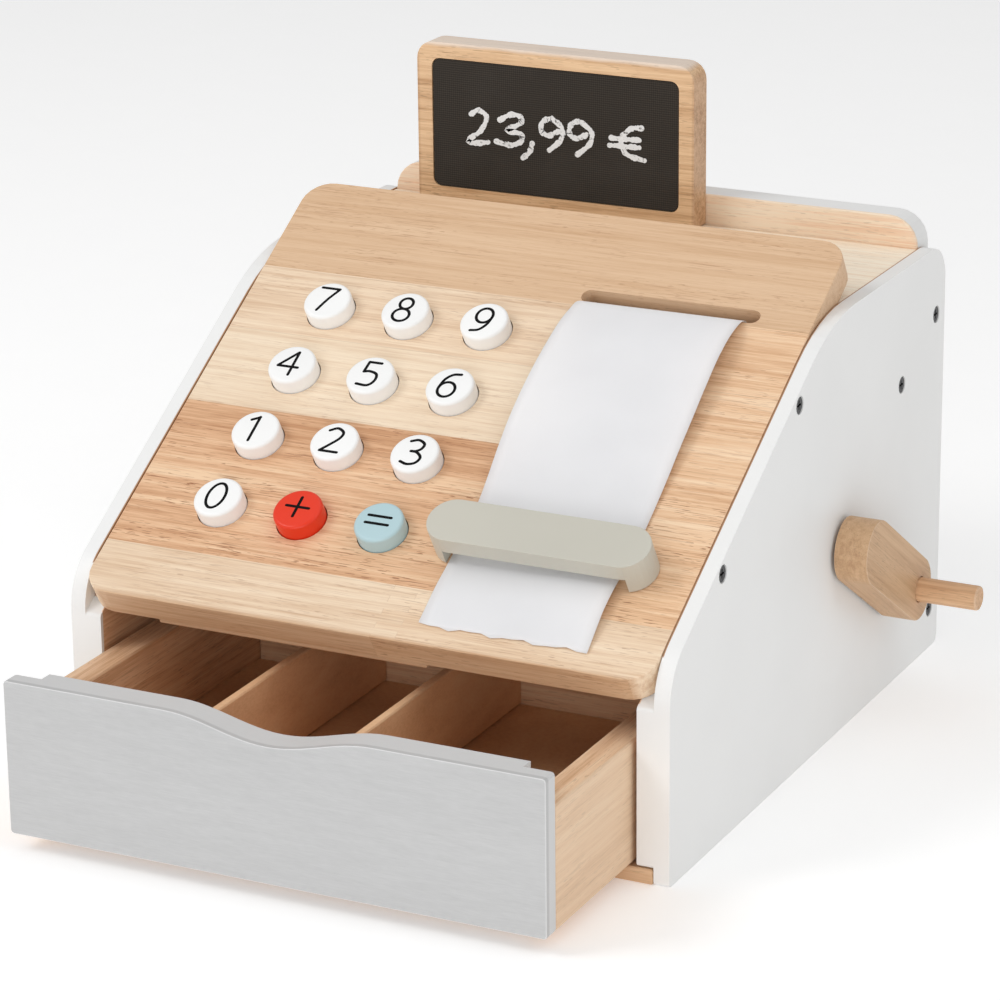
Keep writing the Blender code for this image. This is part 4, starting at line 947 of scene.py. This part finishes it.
def make_foam():
    """The return foam: a sheet with a hole under each key, and in each hole a round patch."""
    thing = frame["nodes"]["key_return_foam"]
    inverse = PANEL_FRAME.inverted()
    points = [inverse @ thing.matrix_world @ v.co for v in thing.data.vertices]
    low = Vector(min(p[i] for p in points) for i in range(3))
    high = Vector(max(p[i] for p in points) for i in range(3))
    soft = foam_material()
    corners = ((low.x, low.y), (high.x, low.y), (high.x, high.y), (low.x, high.y))
    outlines = [[Vector(corner) for corner in corners]]
    for symbol in GLYPHS:
        node = "key_" + symbol
        middle = inverse @ top_centre(node)
        hole = FOAM_PAD_RADIUS + PAD_CLEARANCE
        outlines.append(ellipse(middle.x, middle.y, hole, hole))
        profile = [(0, high.z), (FOAM_PAD_RADIUS, high.z), (FOAM_PAD_RADIUS, low.z), (0, low.z)]
        place = PANEL_FRAME @ Matrix.Translation((middle.x, middle.y, 0))
        pad = new_piece("foam_under_" + symbol, turned(profile, 40), soft, "case", place)
        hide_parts("key_return_foam")
        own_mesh(pad)
    bm = bmesh.new()
    edges = []
    for outline in outlines:
        ring = [bm.verts.new((p.x, p.y, high.z)) for p in outline]
        edges += [bm.edges.new((ring[i - 1], ring[i])) for i in range(len(ring))]
    bmesh.ops.triangle_fill(bm, use_beauty=True, edges=edges)
    raised = bmesh.ops.extrude_face_region(bm, geom=bm.faces[:])
    moved = [item for item in raised["geom"] if isinstance(item, bmesh.types.BMVert)]
    bmesh.ops.translate(bm, verts=moved, vec=(0, 0, low.z - high.z))
    sheet = new_piece("foam_sheet", bm, soft, "case", PANEL_FRAME)
    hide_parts("key_return_foam")


make_keys()
make_foam()
make_receipt()
make_chalk()


# --- camera, lights, floor --------------------------------------------------------------------------
def make_camera():
    """The camera: where it stands, where it looks and its slight roll."""
    azimuth, elevation, roll = 0.45166, 0.32417, -0.0074
    away = Vector(
        (
            math.sin(azimuth) * math.cos(elevation),
            -math.cos(azimuth) * math.cos(elevation),
            math.sin(elevation),
        )
    )
    data = bpy.data.cameras.new("camera")
    data.sensor_width = 36
    data.lens = 144.27
    data.shift_x = -0.0424
    data.shift_y = -0.0318
    data.clip_start = 0.05
    data.clip_end = 20
    camera = bpy.data.objects.new("camera", data)
    bpy.context.scene.collection.objects.link(camera)
    camera.location = (0.53018, -1.07870, 0.48448)
    camera.rotation_mode = "QUATERNION"
    facing = (-away).to_track_quat("-Z", "Y")
    camera.rotation_quaternion = facing @ Quaternion((0, 0, 1), roll)
    bpy.context.scene.camera = camera


def area_light(name, place, target, size, power):
    data = bpy.data.lights.new(name, "AREA")
    data.shape = "RECTANGLE"
    data.size, data.size_y = size
    data.energy = power
    lamp = bpy.data.objects.new(name, data)
    bpy.context.scene.collection.objects.link(lamp)
    lamp.location = place
    lamp.rotation_mode = "QUATERNION"
    lamp.rotation_quaternion = (Vector(target) - Vector(place)).to_track_quat("-Z", "Y")


SKY_STRENGTH = 0.48
# the floor glows: it sheds a faint light from below onto the object as well as keeping itself pale
FLOOR_GLOW = 0.2  # keeps the pale floor from greying away from the lights
FLOOR_SIZE = 8


def make_studio():
    world = bpy.data.worlds.new("studio")
    bpy.context.scene.world = world
    world.use_nodes = True
    background = world.node_tree.nodes["Background"]
    background.inputs["Color"].default_value = (1, 1, 1, 1)
    background.inputs["Strength"].default_value = SKY_STRENGTH
    area_light("key_light", (-1.1, -0.95, 1.45), (0, 0, 0.05), (0.8, 0.8), 10)
    area_light("top_light", (0.1, 0.3, 1.7), (0, 0, 0.05), (1.6, 1.6), 4)
    area_light("right_light", (1.0, -0.3, 1.1), (0.1, 0, 0.05), (0.7, 0.7), 2.1)
    area_light("front_fill", (0.3, -1.5, 0.35), (0, 0, 0.08), (1.0, 0.5), 5)
    bpy.ops.mesh.primitive_plane_add(size=FLOOR_SIZE, location=(0, 0, 0))
    floor = bpy.context.object
    floor.name = "floor"
    shader = Shader("floor")
    speck = shader.noise(shader.coords((40,) * 3), 1.0, 2.0, 0.5)
    shader.finish(shader.mix(speck, (0.96, 0.96, 0.96), (0.98, 0.98, 0.98)), 0.9)
    shader.bsdf.inputs["Emission Color"].default_value = (1, 1, 1, 1)
    shader.bsdf.inputs["Emission Strength"].default_value = FLOOR_GLOW
    floor.data.materials.append(shader.material)
    bpy.context.scene.view_settings.view_transform = "Standard"


make_camera()
make_studio()
